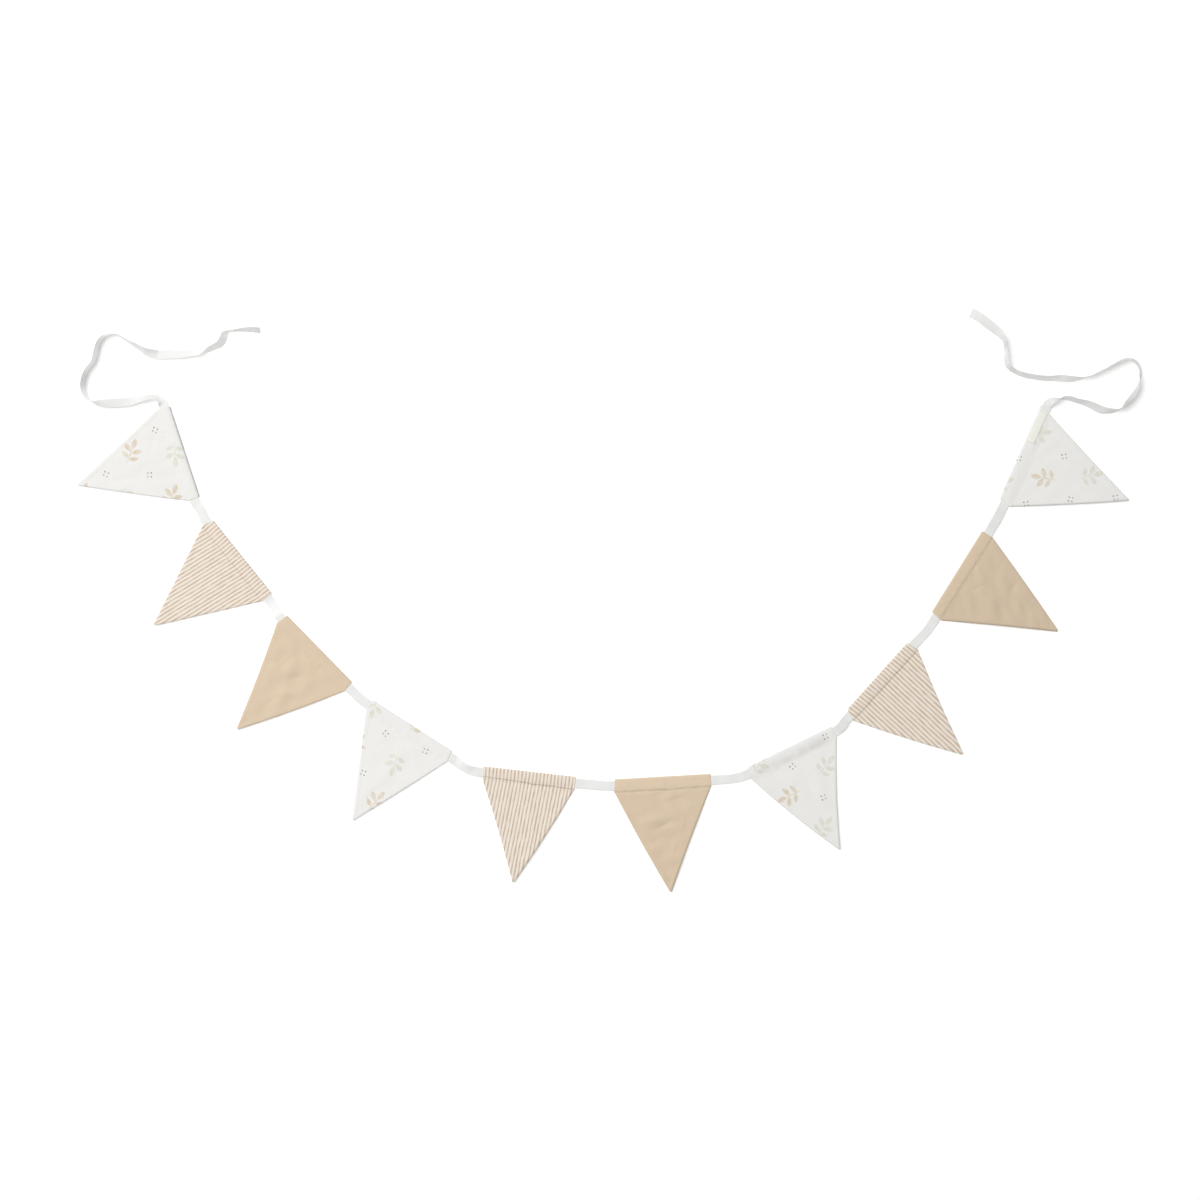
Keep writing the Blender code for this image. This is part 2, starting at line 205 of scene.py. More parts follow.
@dataclass(frozen=True)
class FlagCut:
    """One flag's outline and the way it lies, in the frame of its own channel.

    x, y and heading place the channel's middle and the way the tape runs through it. The next
    four are how far the top edge and the stitched line reach back and on from there. tip and
    drop place the point, sway is how far the body bows to one side, puff is the air between the
    panels, and the three lifts raise the point, the first side and the second side. lean and
    channel_lean are how far the weave runs aside for each millimetre down the body and down the
    channel, and stripe is the stripes' repeat. stitch_at is the height of the stitched line at
    both sides and step its jog near the middle, and lap is how far the channel's two turnings
    overlap in height there. line is how dark the line reads, from a deeper groove and from
    painted shade along it, lip how light the painted highlight on the cloth just past it is,
    band how far painted shade darkens the channel beside it, rims how dark the painted shade in
    the folds of the top edge and of the two sides is, pale how much lighter the channel is than
    the body and tone how light the cloth is. fall is how far past the tape the front panel comes
    down, and repeat moves and turns the print.
    """

    cloth: Cloth
    x: float
    y: float
    heading: float
    top_from: float
    top_to: float
    seam_from: float
    seam_to: float
    tip: float
    drop: float
    sway: float
    puff: float
    tip_lift: float
    from_lift: float
    to_lift: float
    lean: float = 0.0
    channel_lean: float = 0.0
    stripe: float = 5.75
    stitch_at: tuple[float, float] = (SEAM_LINE, SEAM_LINE)
    step: float = 0.0
    lap: float = 0.0
    line: float = 0.1
    lip: float = 0.0
    band: float = 0.0
    rims: tuple[float, float, float] = (0.0, 0.0, 0.0)
    pale: float = 0.0
    tone: float = 1.0
    fall: float = 4.6
    repeat: tuple[float, float, float] = (0.0, 0.0, 0.0)

    def place(self) -> Matrix:
        """Where the channel's frame is in the bunting's."""
        turn = Matrix.Rotation(math.radians(self.heading), 4, "Z")
        return CENTRED @ Matrix.Translation((self.x, self.y, 0)) @ turn

    def sides(self, y: Array) -> tuple[Array, Array]:
        """The two sides at each height: upright along the channel, then in to the point.

        Args:
            y: Heights above the channel's middle line.

        Returns:
            The x of the first and of the second side.
        """
        high = (y - SEAM_LINE) / CHANNEL
        low = np.clip((SEAM_LINE - y) / (self.drop + SEAM_LINE), 0, 1)
        first = -self.seam_from + (self.tip - TIP_WIDTH / 2 + self.seam_from) * low
        second = self.seam_to + (self.tip + TIP_WIDTH / 2 - self.seam_to) * low
        bow = self.sway * np.sin(math.pi * low)
        upper_first = -self.seam_from + (self.seam_from - self.top_from) * high
        upper_second = self.seam_to + (self.top_to - self.seam_to) * high
        upper = y >= SEAM_LINE
        return (
            np.where(upper, upper_first, first + bow),
            np.where(upper, upper_second, second + bow),
        )

    def across(self, x: Array, y: Array) -> Array:
        """Where x lies between the two sides, from -1 to 1."""
        first, second = self.sides(y)
        return (2 * x - first - second) / (second - first)

    def lift(self, x: Array, y: Array) -> Array:
        """How far both panels stand off the surface at the point and the sides.

        Args:
            x: Places along the channel.
            y: Heights above the channel's middle line.

        Returns:
            The lift at each place.
        """
        below = SEAM_LINE - LIFT_FROM - y
        side = self.across(x, y)
        first, second = self.sides(y)
        point = self.tip_lift * smooth((below - POINT_FROM) / POINT_RUN)
        near_first, near_second = (np.clip(share, 0, None) ** 2 for share in (-side, side))
        edges = self.from_lift * near_first + self.to_lift * near_second
        return point + edges * smooth(below / SIDE_RUN) * smooth((second - first) / SIDE_WIDTH)

    def stitched(self, x: Array) -> Array:
        """The height of the stitched line at each x, with the step where its two rows meet.

        Args:
            x: Places along the channel.

        Returns:
            Heights above the channel's middle line.
        """
        first, second = self.stitch_at
        share = (x + self.seam_from) / (self.seam_from + self.seam_to)
        step = self.step * hump(x - STEP_AT, STEP_REACH) * smooth(x / STEP_RUN - 1)
        return first + (second - first) * share - step

    def channel_rise(self, x: Array, y: Array) -> Array:
        """How far the tape holds the front panel up: a low round that thins out past the line.

        Args:
            x: Places along the channel.
            y: Heights above the channel's middle line.

        Returns:
            The rise at each place.
        """
        above = 1 - smooth((y - CROWN_REACH) / TOP_FALL)
        below = 1 - smooth((-y - FOOT) / self.fall)
        first, second = self.sides(y)
        mouth = 1 - smooth(np.minimum(x - first, second - x) / MOUTH)
        crown = (CROWN - MOUTH_SAG * mouth) * np.clip(1 - (y / CROWN_REACH) ** 2, 0, None)
        return (TAPE_RISE + crown) * np.where(y > 0, above, below)

    def from_sewn_edge(self, x: Array, y: Array) -> Array:
        """How far each place is from the nearest sewn edge; a channel's mouths are open.

        Args:
            x: Places along the channel.
            y: Heights above the channel's middle line.

        Returns:
            The distances.
        """
        first, second = self.sides(y)
        slope = math.cos(math.atan2((self.seam_from + self.seam_to) / 2, self.drop + SEAM_LINE))
        side = np.minimum(x - first, second - x) * slope
        side = side + smooth((y - SEAM_LINE) / SEAM_RUN) * CHANNEL
        return np.minimum(np.minimum(side, CHANNEL / 2 - y), y + self.drop)

    def rim_shade(self, x: Array, y: Array) -> Array:
        """How dark the painted shade in the folds along the top edge and the two sides is.

        Args:
            x: Places along the channel.
            y: Heights above the channel's middle line.

        Returns:
            The darkness at each place, from 0 to 1.
        """
        first, second = self.sides(y)
        top, one, two = self.rims
        sewn = smooth((SEAM_LINE - y) / SEAM_RUN)
        turned = top * (1 - smooth((CHANNEL / 2 - y) / RIM))
        folded = one * (1 - smooth((x - first) / RIM)) + two * (1 - smooth((second - x) / RIM))
        return turned + sewn * folded


# The flags in the order of the tape. Each sway follows the photo, up to 2.5 mm aside of the solid.
FLAGS = (
    FlagCut(Cloth.PRINTED, -684, 232, -71.9, 74, 75, 77, 76, -2, 167, 0.8, 1.2, 1.5, 0.0, 1.8,
            line=0.0, rims=(0.34, 0.0, 0.02), tone=0.97, fall=9.0, repeat=(11, 30, 24)),
    FlagCut(Cloth.STRIPED, -592, 63, -51.3, 73, 75, 76, 75, -2, 166, 0.0, 1.0, 2.5, 0.0, 1.4,
            lean=0.126, channel_lean=-0.023, stripe=5.65, line=0.03, rims=(0.03, 0.0, 0.02),
            tone=0.98),
    FlagCut(Cloth.PLAIN, -469, -84, -45.7, 73, 73, 76, 75, 0, 171, 1.5, 1.6, 1.5, 0.5, 2.2,
            line=0.03, rims=(0.0, 0.0, 0.05), tone=1.03),
    FlagCut(Cloth.PRINTED, -320, -207, -32.7, 74, 73, 75, 76, 1, 166, 0.0, 1.2, 1.0, 0.0, 2.4,
            line=0.0, rims=(0.0, 0.0, 0.03), tone=1.01, fall=9.0, repeat=(-24, 12, -38)),
    FlagCut(Cloth.STRIPED, -131, -281, -6.5, 74, 73, 73, 73, -6, 166, 1.5, 1.1, 2.5, 0.0, 2.6,
            lean=0.084, channel_lean=0.0, stitch_at=(-5.8, -10.2), step=1.0, line=0.26, band=0.03,
            rims=(0.0, 0.0, 0.15)),
    FlagCut(Cloth.PLAIN, 80, -289, 3.3, 75, 76, 77, 76, 3, 172, -1.5, 1.7, 1.5, 0.5, 2.4,
            stitch_at=(-10, -9.2), step=1.6, lap=0.6, line=0.2, lip=0.04, rims=(0.0, 0.0, 0.14),
            pale=0.06, tone=1.02),
    FlagCut(Cloth.PRINTED, 284, -241, 26.0, 72, 74, 76, 74, 1, 170, -3.0, 1.2, 2.0, 0.0, 1.6,
            line=0.0, band=0.12, rims=(0.0, 0.0, 0.08), fall=9.0, repeat=(36, -8, 62)),
    FlagCut(Cloth.STRIPED, 426, -127, 48.0, 70, 71, 77, 74, -1, 172, -1.5, 1.0, 2.0, 1.8, 0.0,
            lean=0.021, channel_lean=-0.052, stripe=6.0, stitch_at=(-9, -10), line=0.2, tone=0.98),
    FlagCut(Cloth.PLAIN, 553, 39, 58.1, 74, 76, 78, 76, 5, 174, 0.8, 1.5, 1.0, 2.2, 0.5,
            stitch_at=(-6, -8.4), line=0.17, lip=0.06, rims=(0.0, 0.22, 0.0), pale=0.05, tone=0.96),
    FlagCut(Cloth.PRINTED, 653, 228, 66.3, 78, 84, 84, 75, 1, 177, -1.0, 1.3, 1.5, 2.4, 0.0,
            line=0.0, rims=(0.0, 0.2, 0.0), fall=9.0, repeat=(-6, 40, -15)),
)


@dataclass(frozen=True)
class Crease:
    """A soft ridge, or a trough where its height is below 0, in one flag's front panel."""

    x: float
    y: float
    bearing: float
    length: float
    width: float
    height: float

    def relief(self, x: Array, y: Array) -> Array:
        """The crease's height at each place, told from its middle and along its bearing."""
        spot = (x - self.x + 1j * (y - self.y)) * np.exp(-1j * math.radians(self.bearing))
        return self.height * hump(spot.real, self.length) * hump(spot.imag, self.width)


# Each flag's creases: x, y, bearing, length, width and height. The first is a wide wrinkle that
# the solid has, and so is the second on flags 3, 6 and 9. The others are finer.
CREASES = tuple(
    tuple(Crease(*row) for row in rows)
    for rows in (
        (
            (-8, -60, 70, 45, 12, 0.9), (24, -38, 30, 20, 5, 0.49), (-30, -34, 150, 18, 5, -0.49),
            (4, -104, 80, 24, 5, 0.42),
        ),
        (
            (10, -75, 100, 40, 11, 0.7), (-24, -52, 70, 26, 5, -0.42), (28, -40, 110, 20, 5, 0.42),
        ),
        (
            (-15, -55, 35, 38, 12, 1.5), (14, -85, 120, 34, 11, 1.2), (-20, -40, 85, 16, 4, -1.12),
            (8, -46, 50, 15, 4.5, -1.12), (15, -76, 48, 18, 6, 1.12), (6, -102, 80, 13, 4, -0.84),
            (50, -18, 10, 8, 4, -0.7), (-28, -62, 60, 14, 5, 0.7),
        ),
        (
            (6, -70, 80, 48, 12, 1.0), (-28, -46, 60, 22, 5, -0.42), (30, -36, 130, 18, 5, 0.42),
            (-2, -112, 75, 22, 5, 0.42),
        ),
        (
            (12, -80, 96, 52, 12, 1.1), (-26, -56, 80, 24, 5, -0.49), (30, -48, 105, 22, 5, 0.49),
        ),
        (
            (-14, -62, 25, 34, 12, 1.6), (22, -55, 140, 26, 11, 1.2), (16, -28, 12, 22, 4, -1.26),
            (-2, -67, 22, 13, 3.8, -1.68), (-22, -58, 8, 16, 6, 0.98), (-18, -92, 30, 12, 5, -0.84),
            (-46, -38, 12, 10, 4, -0.7), (12, -104, 70, 14, 4, 0.7), (28, -66, 75, 14, 4, 0.7),
        ),
        (
            (16, -70, 75, 44, 12, 1.0), (-22, -48, 60, 24, 5, 0.42), (22, -38, 100, 20, 5, -0.42),
            (4, -110, 85, 24, 5, -0.42),
        ),
        (
            (-6, -72, 95, 42, 12, 0.8), (22, -50, 70, 22, 5, -0.49), (-24, -44, 120, 20, 5, 0.42),
            (2, -112, 88, 24, 5, 0.42),
        ),
        (
            (-12, -58, 50, 36, 12, 1.4), (18, -95, 110, 32, 11, 0.9), (-3, -32, 150, 6, 3, -1.26),
            (12, -31, 60, 8, 3.5, 0.98), (-12, -54, 70, 16, 6, 1.26), (28, -79, 10, 9, 3.8, -1.4),
            (46, -44, 20, 9, 4, -0.98), (24, -110, 60, 10, 4, -0.98), (2, -104, 75, 13, 4.5, 0.98),
            (2, -131, 85, 9, 4, 0.84),
        ),
        (
            (4, -80, 85, 50, 13, 1.1), (-26, -50, 65, 26, 5, -0.42), (22, -64, 115, 24, 5, 0.42),
            (2, -124, 85, 24, 5, -0.42),
        ),
    )
)


@dataclass(frozen=True)
class Link:
    """How far the tape twists and turns aside between two flags, and its painted shade there."""

    twist: float
    aside: float
    shade: float


@dataclass(frozen=True)
class Bend:
    """One bend of a tie end; roll is 0 where the tape lies flat and 90 where it is on its edge.

    shade is how much painted shade darkens the tape there; below 0 it is painted light.
    """

    x: float
    y: float
    roll: float
    shade: float = 0.0


# Twist, aside and painted shade between each flag and the next; painted light where below 0
LINKS = tuple(
    Link(*row)
    for row in (
        (8, 2.5, -0.02), (0, 0.5, -0.13), (-6, 0.0, -0.02), (24, -1.5, -0.07), (-8, 1.0, -0.02),
        (10, 0.0, -0.05), (-14, 0.0, 0.09), (6, -1.0, -0.04), (-7, 0.0, 0.06),
    )
)

# The route of the two tie ends, in the tape's own direction, as the tape's solid has it:
# x, y, roll and painted shade, which is painted light below 0
FIRST_END = tuple(
    Bend(*row)
    for row in (
        (-556, 426, 124), (-567, 427, 121), (-580, 427, 114, -0.1), (-593, 426, 98),
        (-604, 425, 96, -0.2), (-611, 421, 125, -0.15), (-614, 413, 140), (-619, 405, 138),
        (-628, 400, 126, -0.1), (-636, 396, 118, -0.1), (-643, 392, 100, -0.15),
        (-651, 390, 62, -0.1), (-667, 389, 44), (-683, 388, 30), (-698, 388, 18), (-714, 387, 6),
        (-725, 389, -20), (-735, 392, -43), (-744, 397, -58, -0.05), (-754, 403, -66, -0.05),
        (-765, 409, -74, -0.15), (-779, 418, -86, -0.05), (-788, 420, -98, 0.05),
        (-796, 419, -106, 0.05), (-805, 414, -120, 0.3), (-811, 405, -128, 0.35),
        (-814, 395, -129, 0.3), (-817, 382, -128, 0.3), (-821, 373, -124, 0.3),
        (-828, 365, -122, 0.3), (-833, 354, -128, 0.4), (-836, 340, -125, 0.35),
        (-834, 327, -114, 0.1), (-829, 319, -104, -0.05), (-822, 314, -88), (-814, 312, -64, 0.15),
        (-804, 311, -40, 0.1), (-785, 311, -18, 0.1), (-763, 313, -22, 0.05), (-746, 317, -45),
        (-730, 320, -55, 0.05), (-719, 320, -52), (-712, 315, -34, -0.15),
    )
)
LAST_END = tuple(
    Bend(*row)
    for row in (
        (693, 313, -34, 0.05), (700, 316, -60, 0.1), (707, 318, -88, 0.2), (715, 319, -112, -0.1),
        (724, 318, -116), (736, 314, -115, 0.05), (748, 311, -124), (760, 306, -133),
        (771, 301, -141), (782, 299, -126), (792, 299, -112), (801, 301, -98, -0.1),
        (808, 306, -82, 0.3), (814, 312, -66, 0.35), (821, 320, -62, 0.25), (827, 329, -66, 0.2),
        (831, 338, -78, 0.15), (833, 350, -104, 0.05), (834, 361, -116, -0.25),
        (831, 370, -118, -0.2), (825, 377, -114, 0.05), (816, 380, -108, 0.15),
        (805, 378, -103, 0.2), (791, 371, -98, 0.25), (777, 364, -95, 0.1), (763, 357, -92, 0.1),
        (750, 352, -86, -0.1), (739, 350, -74, -0.1), (724, 349, -52, -0.05), (710, 350, -43, -0.1),
        (698, 350, -56, -0.1), (684, 350, -58, -0.05), (668, 352, -62, -0.05), (652, 355, -62),
        (640, 359, -66), (631, 364, -67, 0.15), (625, 370, -66, 0.1), (623, 379, -63, 0.1),
        (622, 391, -73, 0.05), (621, 402, -76, 0.2), (619, 411, -70, 0.1), (613, 419, -54),
        (605, 427, -35, 0.05), (594, 436, -15, 0.05), (583, 445, -5), (573, 451, 0, -0.1),
        (567, 454, 0),
    )
)


class Value:
    """A shader socket in an expression: its operators add Math nodes to its material."""

    def __init__(self, book: "ShaderBook", socket: bpy.types.NodeSocket) -> None:
        """Wraps a socket of a material that is being written."""
        self.book = book
        self.socket = socket

    def __add__(self, other: "Value | float") -> "Value":
        """The sum."""
        return self.book.math("ADD", self, other)

    def __sub__(self, other: "Value | float") -> "Value":
        """The difference."""
        return self.book.math("SUBTRACT", self, other)

    def __rsub__(self, other: float) -> "Value":
        """The difference from a number."""
        return self.book.math("SUBTRACT", other, self)

    def __mul__(self, other: "Value | float") -> "Value":
        """The product."""
        return self.book.math("MULTIPLY", self, other)

    def __truediv__(self, other: "Value | float") -> "Value":
        """The quotient."""
        return self.book.math("DIVIDE", self, other)

    def __rtruediv__(self, other: float) -> "Value":
        """A number over this value."""
        return self.book.math("DIVIDE", other, self)

    def __abs__(self) -> "Value":
        """The size without its sign."""
        return self.book.math("ABSOLUTE", self)

    __radd__ = __add__
    __rmul__ = __mul__

    def sine(self) -> "Value":
        """The sine of this value in radians."""
        return self.book.math("SINE", self)

    def repeated(self, length: float) -> "Value":
        """The place inside a repeat of this length."""
        return self.book.math("FLOORED_MODULO", self, length)

    def most(self, other: "Value | float") -> "Value":
        """The larger of the two."""
        return self.book.math("MAXIMUM", self, other)

    def eased(self, start: float, end: float) -> "Value":
        """0 where this value is start and 1 where it is end, with an even ease between them."""
        inputs = {"Value": self, "From Min": start, "From Max": end}
        return self.book.node("ShaderNodeMapRange", {"interpolation_type": "SMOOTHSTEP"}, inputs)

    def part(self, axis: str) -> "Value":
        """The X, Y or Z of this vector."""
        return self.book.node("ShaderNodeSeparateXYZ", {}, {"Vector": self}, axis)

    def noise(self, x: float, y: float) -> "Value":
        """Smooth noise from 0 to 1 over these places, whose clouds are about x by y in size."""
        places = self.book.vector_math("DIVIDE", {0: self, 1: (x, y, 1.0)})
        return self.book.node("ShaderNodeTexNoise", {}, {"Vector": places, "Scale": 1, "Detail": 2})

    def placed(
        self, x: float, y: float, turn: float, length: float = 1.0, width: float = 1.0
    ) -> "Value":
        """The same places in the frame of a motif.

        Args:
            x: The motif's middle along these places.
            y: The motif's middle across them.
            turn: How far it is turned, in degrees.
            length: Its half length, which becomes 1.
            width: Its half width, which becomes 1.

        Returns:
            Places from the motif's middle, along and across it.
        """
        inputs = {
            "Vector": self,
            "Location": (x, y, 0.0),
            "Rotation": (0.0, 0.0, math.radians(turn)),
            "Scale": (length, width, 1.0),
        }
        return self.book.node("ShaderNodeMapping", {"vector_type": "TEXTURE"}, inputs)


class ShaderBook:
    """One material in the making, with one method that adds any node."""

    def __init__(self, name: str) -> None:
        """Starts an empty material.

        Args:
            name: The material's name.
        """
        self.material = bpy.data.materials.new(name)
        self.material.use_nodes = True
        self.tree = self.material.node_tree
        self.tree.nodes.clear()

    def node(self, kind: str, settings: Inputs, inputs: Inputs, output: str | int = 0) -> Value:
        """Adds a node.

        Args:
            kind: The node's type.
            settings: Its own properties, set before anything else.
            inputs: Numbers, tuples or values for its input sockets.
            output: The output socket that is wanted.

        Returns:
            That output as a value.
        """
        made = self.tree.nodes.new(kind)
        for name, setting in settings.items():
            setattr(made, name, setting)
        for name, given in inputs.items():
            socket = made.inputs[name]
            if isinstance(given, Value):
                self.tree.links.new(given.socket, socket)
            else:
                socket.default_value = (*given, 1.0) if socket.type == "RGBA" else given
        return Value(self, made.outputs[output] if len(made.outputs) else None)

    def math(self, operation: str, *terms: Value | float) -> Value:
        """Adds a Math node on these terms."""
        return self.node("ShaderNodeMath", {"operation": operation}, dict(enumerate(terms)))

    def vector_math(self, operation: str, inputs: Inputs, output: str | int = 0) -> Value:
        """Adds a Vector Math node on these inputs."""
        return self.node("ShaderNodeVectorMath", {"operation": operation}, inputs, output)

    def blend(self, share: Value, first: object, second: object) -> Value:
        """Adds a Mix of two colours, which gives the second where share is 1."""
        return self.node("ShaderNodeMix", {"data_type": "RGBA"}, {0: share, 6: first, 7: second}, 2)

    def toned(self, colour: Value | tuple[float, ...], amount: Value | float) -> Value:
        """A colour or vector times one amount."""
        return self.vector_math("SCALE", {0: colour, "Scale": amount})

    def map_in_mm(self, name: str) -> Value:
        """The places that a UV map of this name holds, in millimetres."""
        return self.toned(self.node("ShaderNodeUVMap", {"uv_map": name}, {}), 1 / MM)

    def fabric(
        self, colour: Value, roughness: Value | float, height: Value, depth: float
    ) -> Material:
        """Ends the material as a matt cloth.

        Args:
            colour: What it is dyed.
            roughness: How matt it is.
            height: The weave's relief, from 0 to 1.
            depth: How deep that relief is, in millimetres.

        Returns:
            The finished material.
        """
        relief = {"Strength": 0.5, "Distance": depth * MM, "Height": height}
        inputs = {
            "Base Color": colour,
            "Roughness": roughness,
            "Specular IOR Level": 0.22,
            "Sheen Weight": 0.12,
            "Sheen Roughness": 0.5,
            "Normal": self.node("ShaderNodeBump", {}, relief),
        }
        shader = self.node("ShaderNodeBsdfPrincipled", {}, inputs)
        self.node("ShaderNodeOutputMaterial", {}, {"Surface": shader})
        return self.material


@dataclass(frozen=True)
class PlainCotton:
    """Plain-weave cotton in one colour; the striped and printed cloths start from it."""

    colour: Colour
    pitch: float = 0.6
    slub: float = 0.07
    mottle: float = 0.05
    roughness: float = 0.88
    relief: float = 0.16

    def pattern(self, cloth: Value, cut: FlagCut) -> Value | tuple[float, ...]:
        """The colour that the cloth is dyed, before its yarn and seams shade it."""
        return linear_rgb(self.colour)

    def weave(self, cloth: Value) -> Value:
        """The relief of a plain weave: warp and weft pass over each other by turns.

        Args:
            cloth: Places on the cloth in millimetres.

        Returns:
            The height, from 0 to 1.
        """
        warp, weft = ((cloth.part(axis) * (math.pi / self.pitch)).sine() for axis in "XY")
        over = (warp * weft).eased(-0.4, 0.4)
        return over * abs(warp) + (1 - over) * abs(weft)

    def yarn(self, cloth: Value) -> Value:
        """The yarn's uneven tone, about 1: long slubs both ways and a soft mottle."""
        slubs = (cloth.noise(0.9, 16.0) + cloth.noise(22.0, 0.9) - 1.0) * self.slub
        return slubs + (cloth.noise(26.0, 26.0) - 0.5) * self.mottle + 1.0

    def seam_tone(self, cloth: Value, cut: FlagCut) -> Value:
        """Painted shade at the stitched line, the channel and the folds, and a painted highlight.

        Args:
            cloth: Places on the cloth in millimetres.
            cut: The flag.

        Returns:
            The factor on the colour.
        """
        seam = cloth.book.map_in_mm("seam")
        edge, above = seam.part("X"), seam.part("Y")
        # An uneven strength, in patches, for the painted shade and the painted highlight below.
        painted_light_patches = cloth.noise(11.0, 60.0).eased(0.3, 0.62) * 0.75 + 0.4
        # Painted shade along the stitched line.
        line = (1 - abs(above + 0.2).eased(0.2, 1.5)) * painted_light_patches * cut.line
        # A painted highlight on the cloth just past the stitched line.
        lip = (1 - abs(above + 3.6).eased(0.3, 2.0)) * painted_light_patches * cut.lip
        # Painted shade in patches in the channel beside the stitched line.
        patchy = cloth.noise(34.0, 90.0).eased(0.36, 0.6)
        band = above.eased(-4.0, 3.0) * (1 - above.eased(6.0, 17.0)) * patchy * cut.band
        # Painted shade in the folds along the top edge and the sides, from the shade map.
        rim = cloth.book.map_in_mm("shade").part("X") * (painted_light_patches * 0.5 + 0.6)
        # A little more painted shade at every sewn edge, on top of the folds' painted shade.
        fold = (1 - edge.eased(0.2, 2.0)) * 0.07 + rim
        # Painted shade along the step where the turned seam allowance inside ends.
        ridge = (1 - abs(edge - ALLOWANCE).eased(0.0, 1.4)) * 0.03
        pale = above.eased(-0.5, 1.5) * cut.pale + 1
        return (1 - line - band + lip) * (1 - fold - ridge) * pale

    def material(self, name: str, cut: FlagCut) -> Material:
        """Writes the material of one flag's cloth.

        Args:
            name: The material's name.
            cut: The flag.

        Returns:
            The material.
        """
        book = ShaderBook(name)
        cloth = book.map_in_mm("cloth")
        tone = self.yarn(cloth) * self.seam_tone(cloth, cut)
        dyed = book.toned(self.pattern(cloth, cut), tone * cut.tone)
        roughness = self.roughness + (tone - 1.0) * 0.3
        return book.fabric(dyed, roughness, self.weave(cloth), self.relief)


@dataclass(frozen=True)
class StripedCotton(PlainCotton):
    """Cotton woven with narrow even stripes that run from the channel to the point."""

    stripe: Colour = (205, 183, 161)
    share: float = 0.39
    softness: float = 0.06

    def pattern(self, cloth: Value, cut: FlagCut) -> Value | tuple[float, ...]:
        """The striped colour: the stripes wander a little, and their yarn is faded in places.

        Args:
            cloth: Places on the cloth in millimetres.
            cut: The flag.

        Returns:
            The colour.
        """
        wander = (cloth.noise(60.0, 60.0) - 0.5) * 1.4
        wander = wander + (cloth.noise(7.0, 20.0) - 0.5) * 2.0
        place = (cloth.part("X") + wander).repeated(cut.stripe) / cut.stripe
        edge = self.share / 2
        band = 1 - abs(place - 0.5).eased(edge - self.softness, edge + self.softness)
        faded = band * (cloth.noise(6.0, 13.0).eased(0.3, 0.7) * 0.55 + 0.62)
        return cloth.book.blend(faded, linear_rgb(self.colour), linear_rgb(self.stripe))


@dataclass(frozen=True)
class PrintedCotton(PlainCotton):
    """White cotton with a scattered print of pale leaf sprigs and small groups of dots.

    A leaf is its middle, its turn and its half length and half width in a sprig; a dot is its
    middle and radius in a group. Sprigs and groups are placed by middle and turn in the repeat.
    """

    leaf: Colour = (221, 204, 178)
    second_leaf: Colour = (222, 222, 206)
    dot: Colour = (150, 142, 132)
    repeat: tuple[float, float] = (96.0, 104.0)
    leaves: tuple[tuple[float, ...], ...] = (
        (0.0, 14.5, 92, 9.5, 4.6),
        (-8.0, 6.0, 150, 9.0, 4.3),
        (8.2, 3.5, 28, 9.0, 4.3),
        (-7.4, -6.0, 156, 8.0, 3.8),
        (7.6, -8.5, 24, 8.0, 3.8),
        (0.0, -4.0, 90, 18.0, 0.9),
    )
    sprigs: tuple[tuple[float, ...], ...] = ((24.0, 25.0, 28.0), (71.0, 76.0, -128.0))
    dot_groups: tuple[tuple[float, ...], ...] = ((70.0, 23.0, 10.0), (23.0, 77.0, 75.0))
    dots: tuple[tuple[float, ...], ...] = (
        (0.0, 4.2, 1.4),
        (-4.0, 0.4, 1.2),
        (3.8, -0.6, 1.3),
        (-0.6, -4.2, 1.1),
    )
    dot_softness: float = 0.35

    def sprig(self, cell: Value, place: tuple[float, ...]) -> Value:
        """Where one sprig is printed.

        Args:
            cell: Places inside the repeat.
            place: The sprig's middle and turn.

        Returns:
            1 on its leaves and 0 off them, lighter on the midribs.
        """
        own = cell.placed(*place)
        marks = []
        for leaf in self.leaves:
            spot = own.placed(*leaf)
            along, across = spot.part("X"), abs(spot.part("Y"))
            inside = (1 - along * along - across).eased(-0.1, 0.45)
            marks.append(inside * (across.eased(0.02, 0.14) * 0.3 + 0.7))
        return reduce(Value.most, marks)

    def dotted(self, cell: Value) -> Value:
        """Where the groups of dots are printed.

        Args:
            cell: Places inside the repeat.

        Returns:
            1 on a dot and 0 off it.
        """
        marks = []
        for x, y, turn in self.dot_groups:
            group = Matrix.Translation((x, y, 0)) @ Matrix.Rotation(math.radians(turn), 4, "Z")
            for across, up, radius in self.dots:
                spot = tuple(group @ Vector((across, up, 0)))
                away = cell.book.vector_math("DISTANCE", {0: cell, 1: spot}, "Value")
                marks.append(1 - away.eased(radius - self.dot_softness, radius + self.dot_softness))
        return reduce(Value.most, marks)

    def pattern(self, cloth: Value, cut: FlagCut) -> Value | tuple[float, ...]:
        """The printed colour.

        Args:
            cloth: Places on the cloth in millimetres.
            cut: The flag.

        Returns:
            The colour.
        """
        book, bolt = cloth.book, cloth.placed(*cut.repeat)
        inputs = {axis: bolt.part(axis).repeated(size) for axis, size in zip("XY", self.repeat)}
        cell = book.node("ShaderNodeCombineXYZ", {}, inputs)
        wash = cloth.noise(7.0, 7.0).eased(0.25, 0.75) * 0.6 + 0.5
        dyed = linear_rgb(self.colour)
        for place, ink in zip(self.sprigs, (self.leaf, self.second_leaf)):
            dyed = book.blend(self.sprig(cell, place) * wash, dyed, linear_rgb(ink))
        return book.blend(self.dotted(cell) * 0.8, dyed, linear_rgb(self.dot))


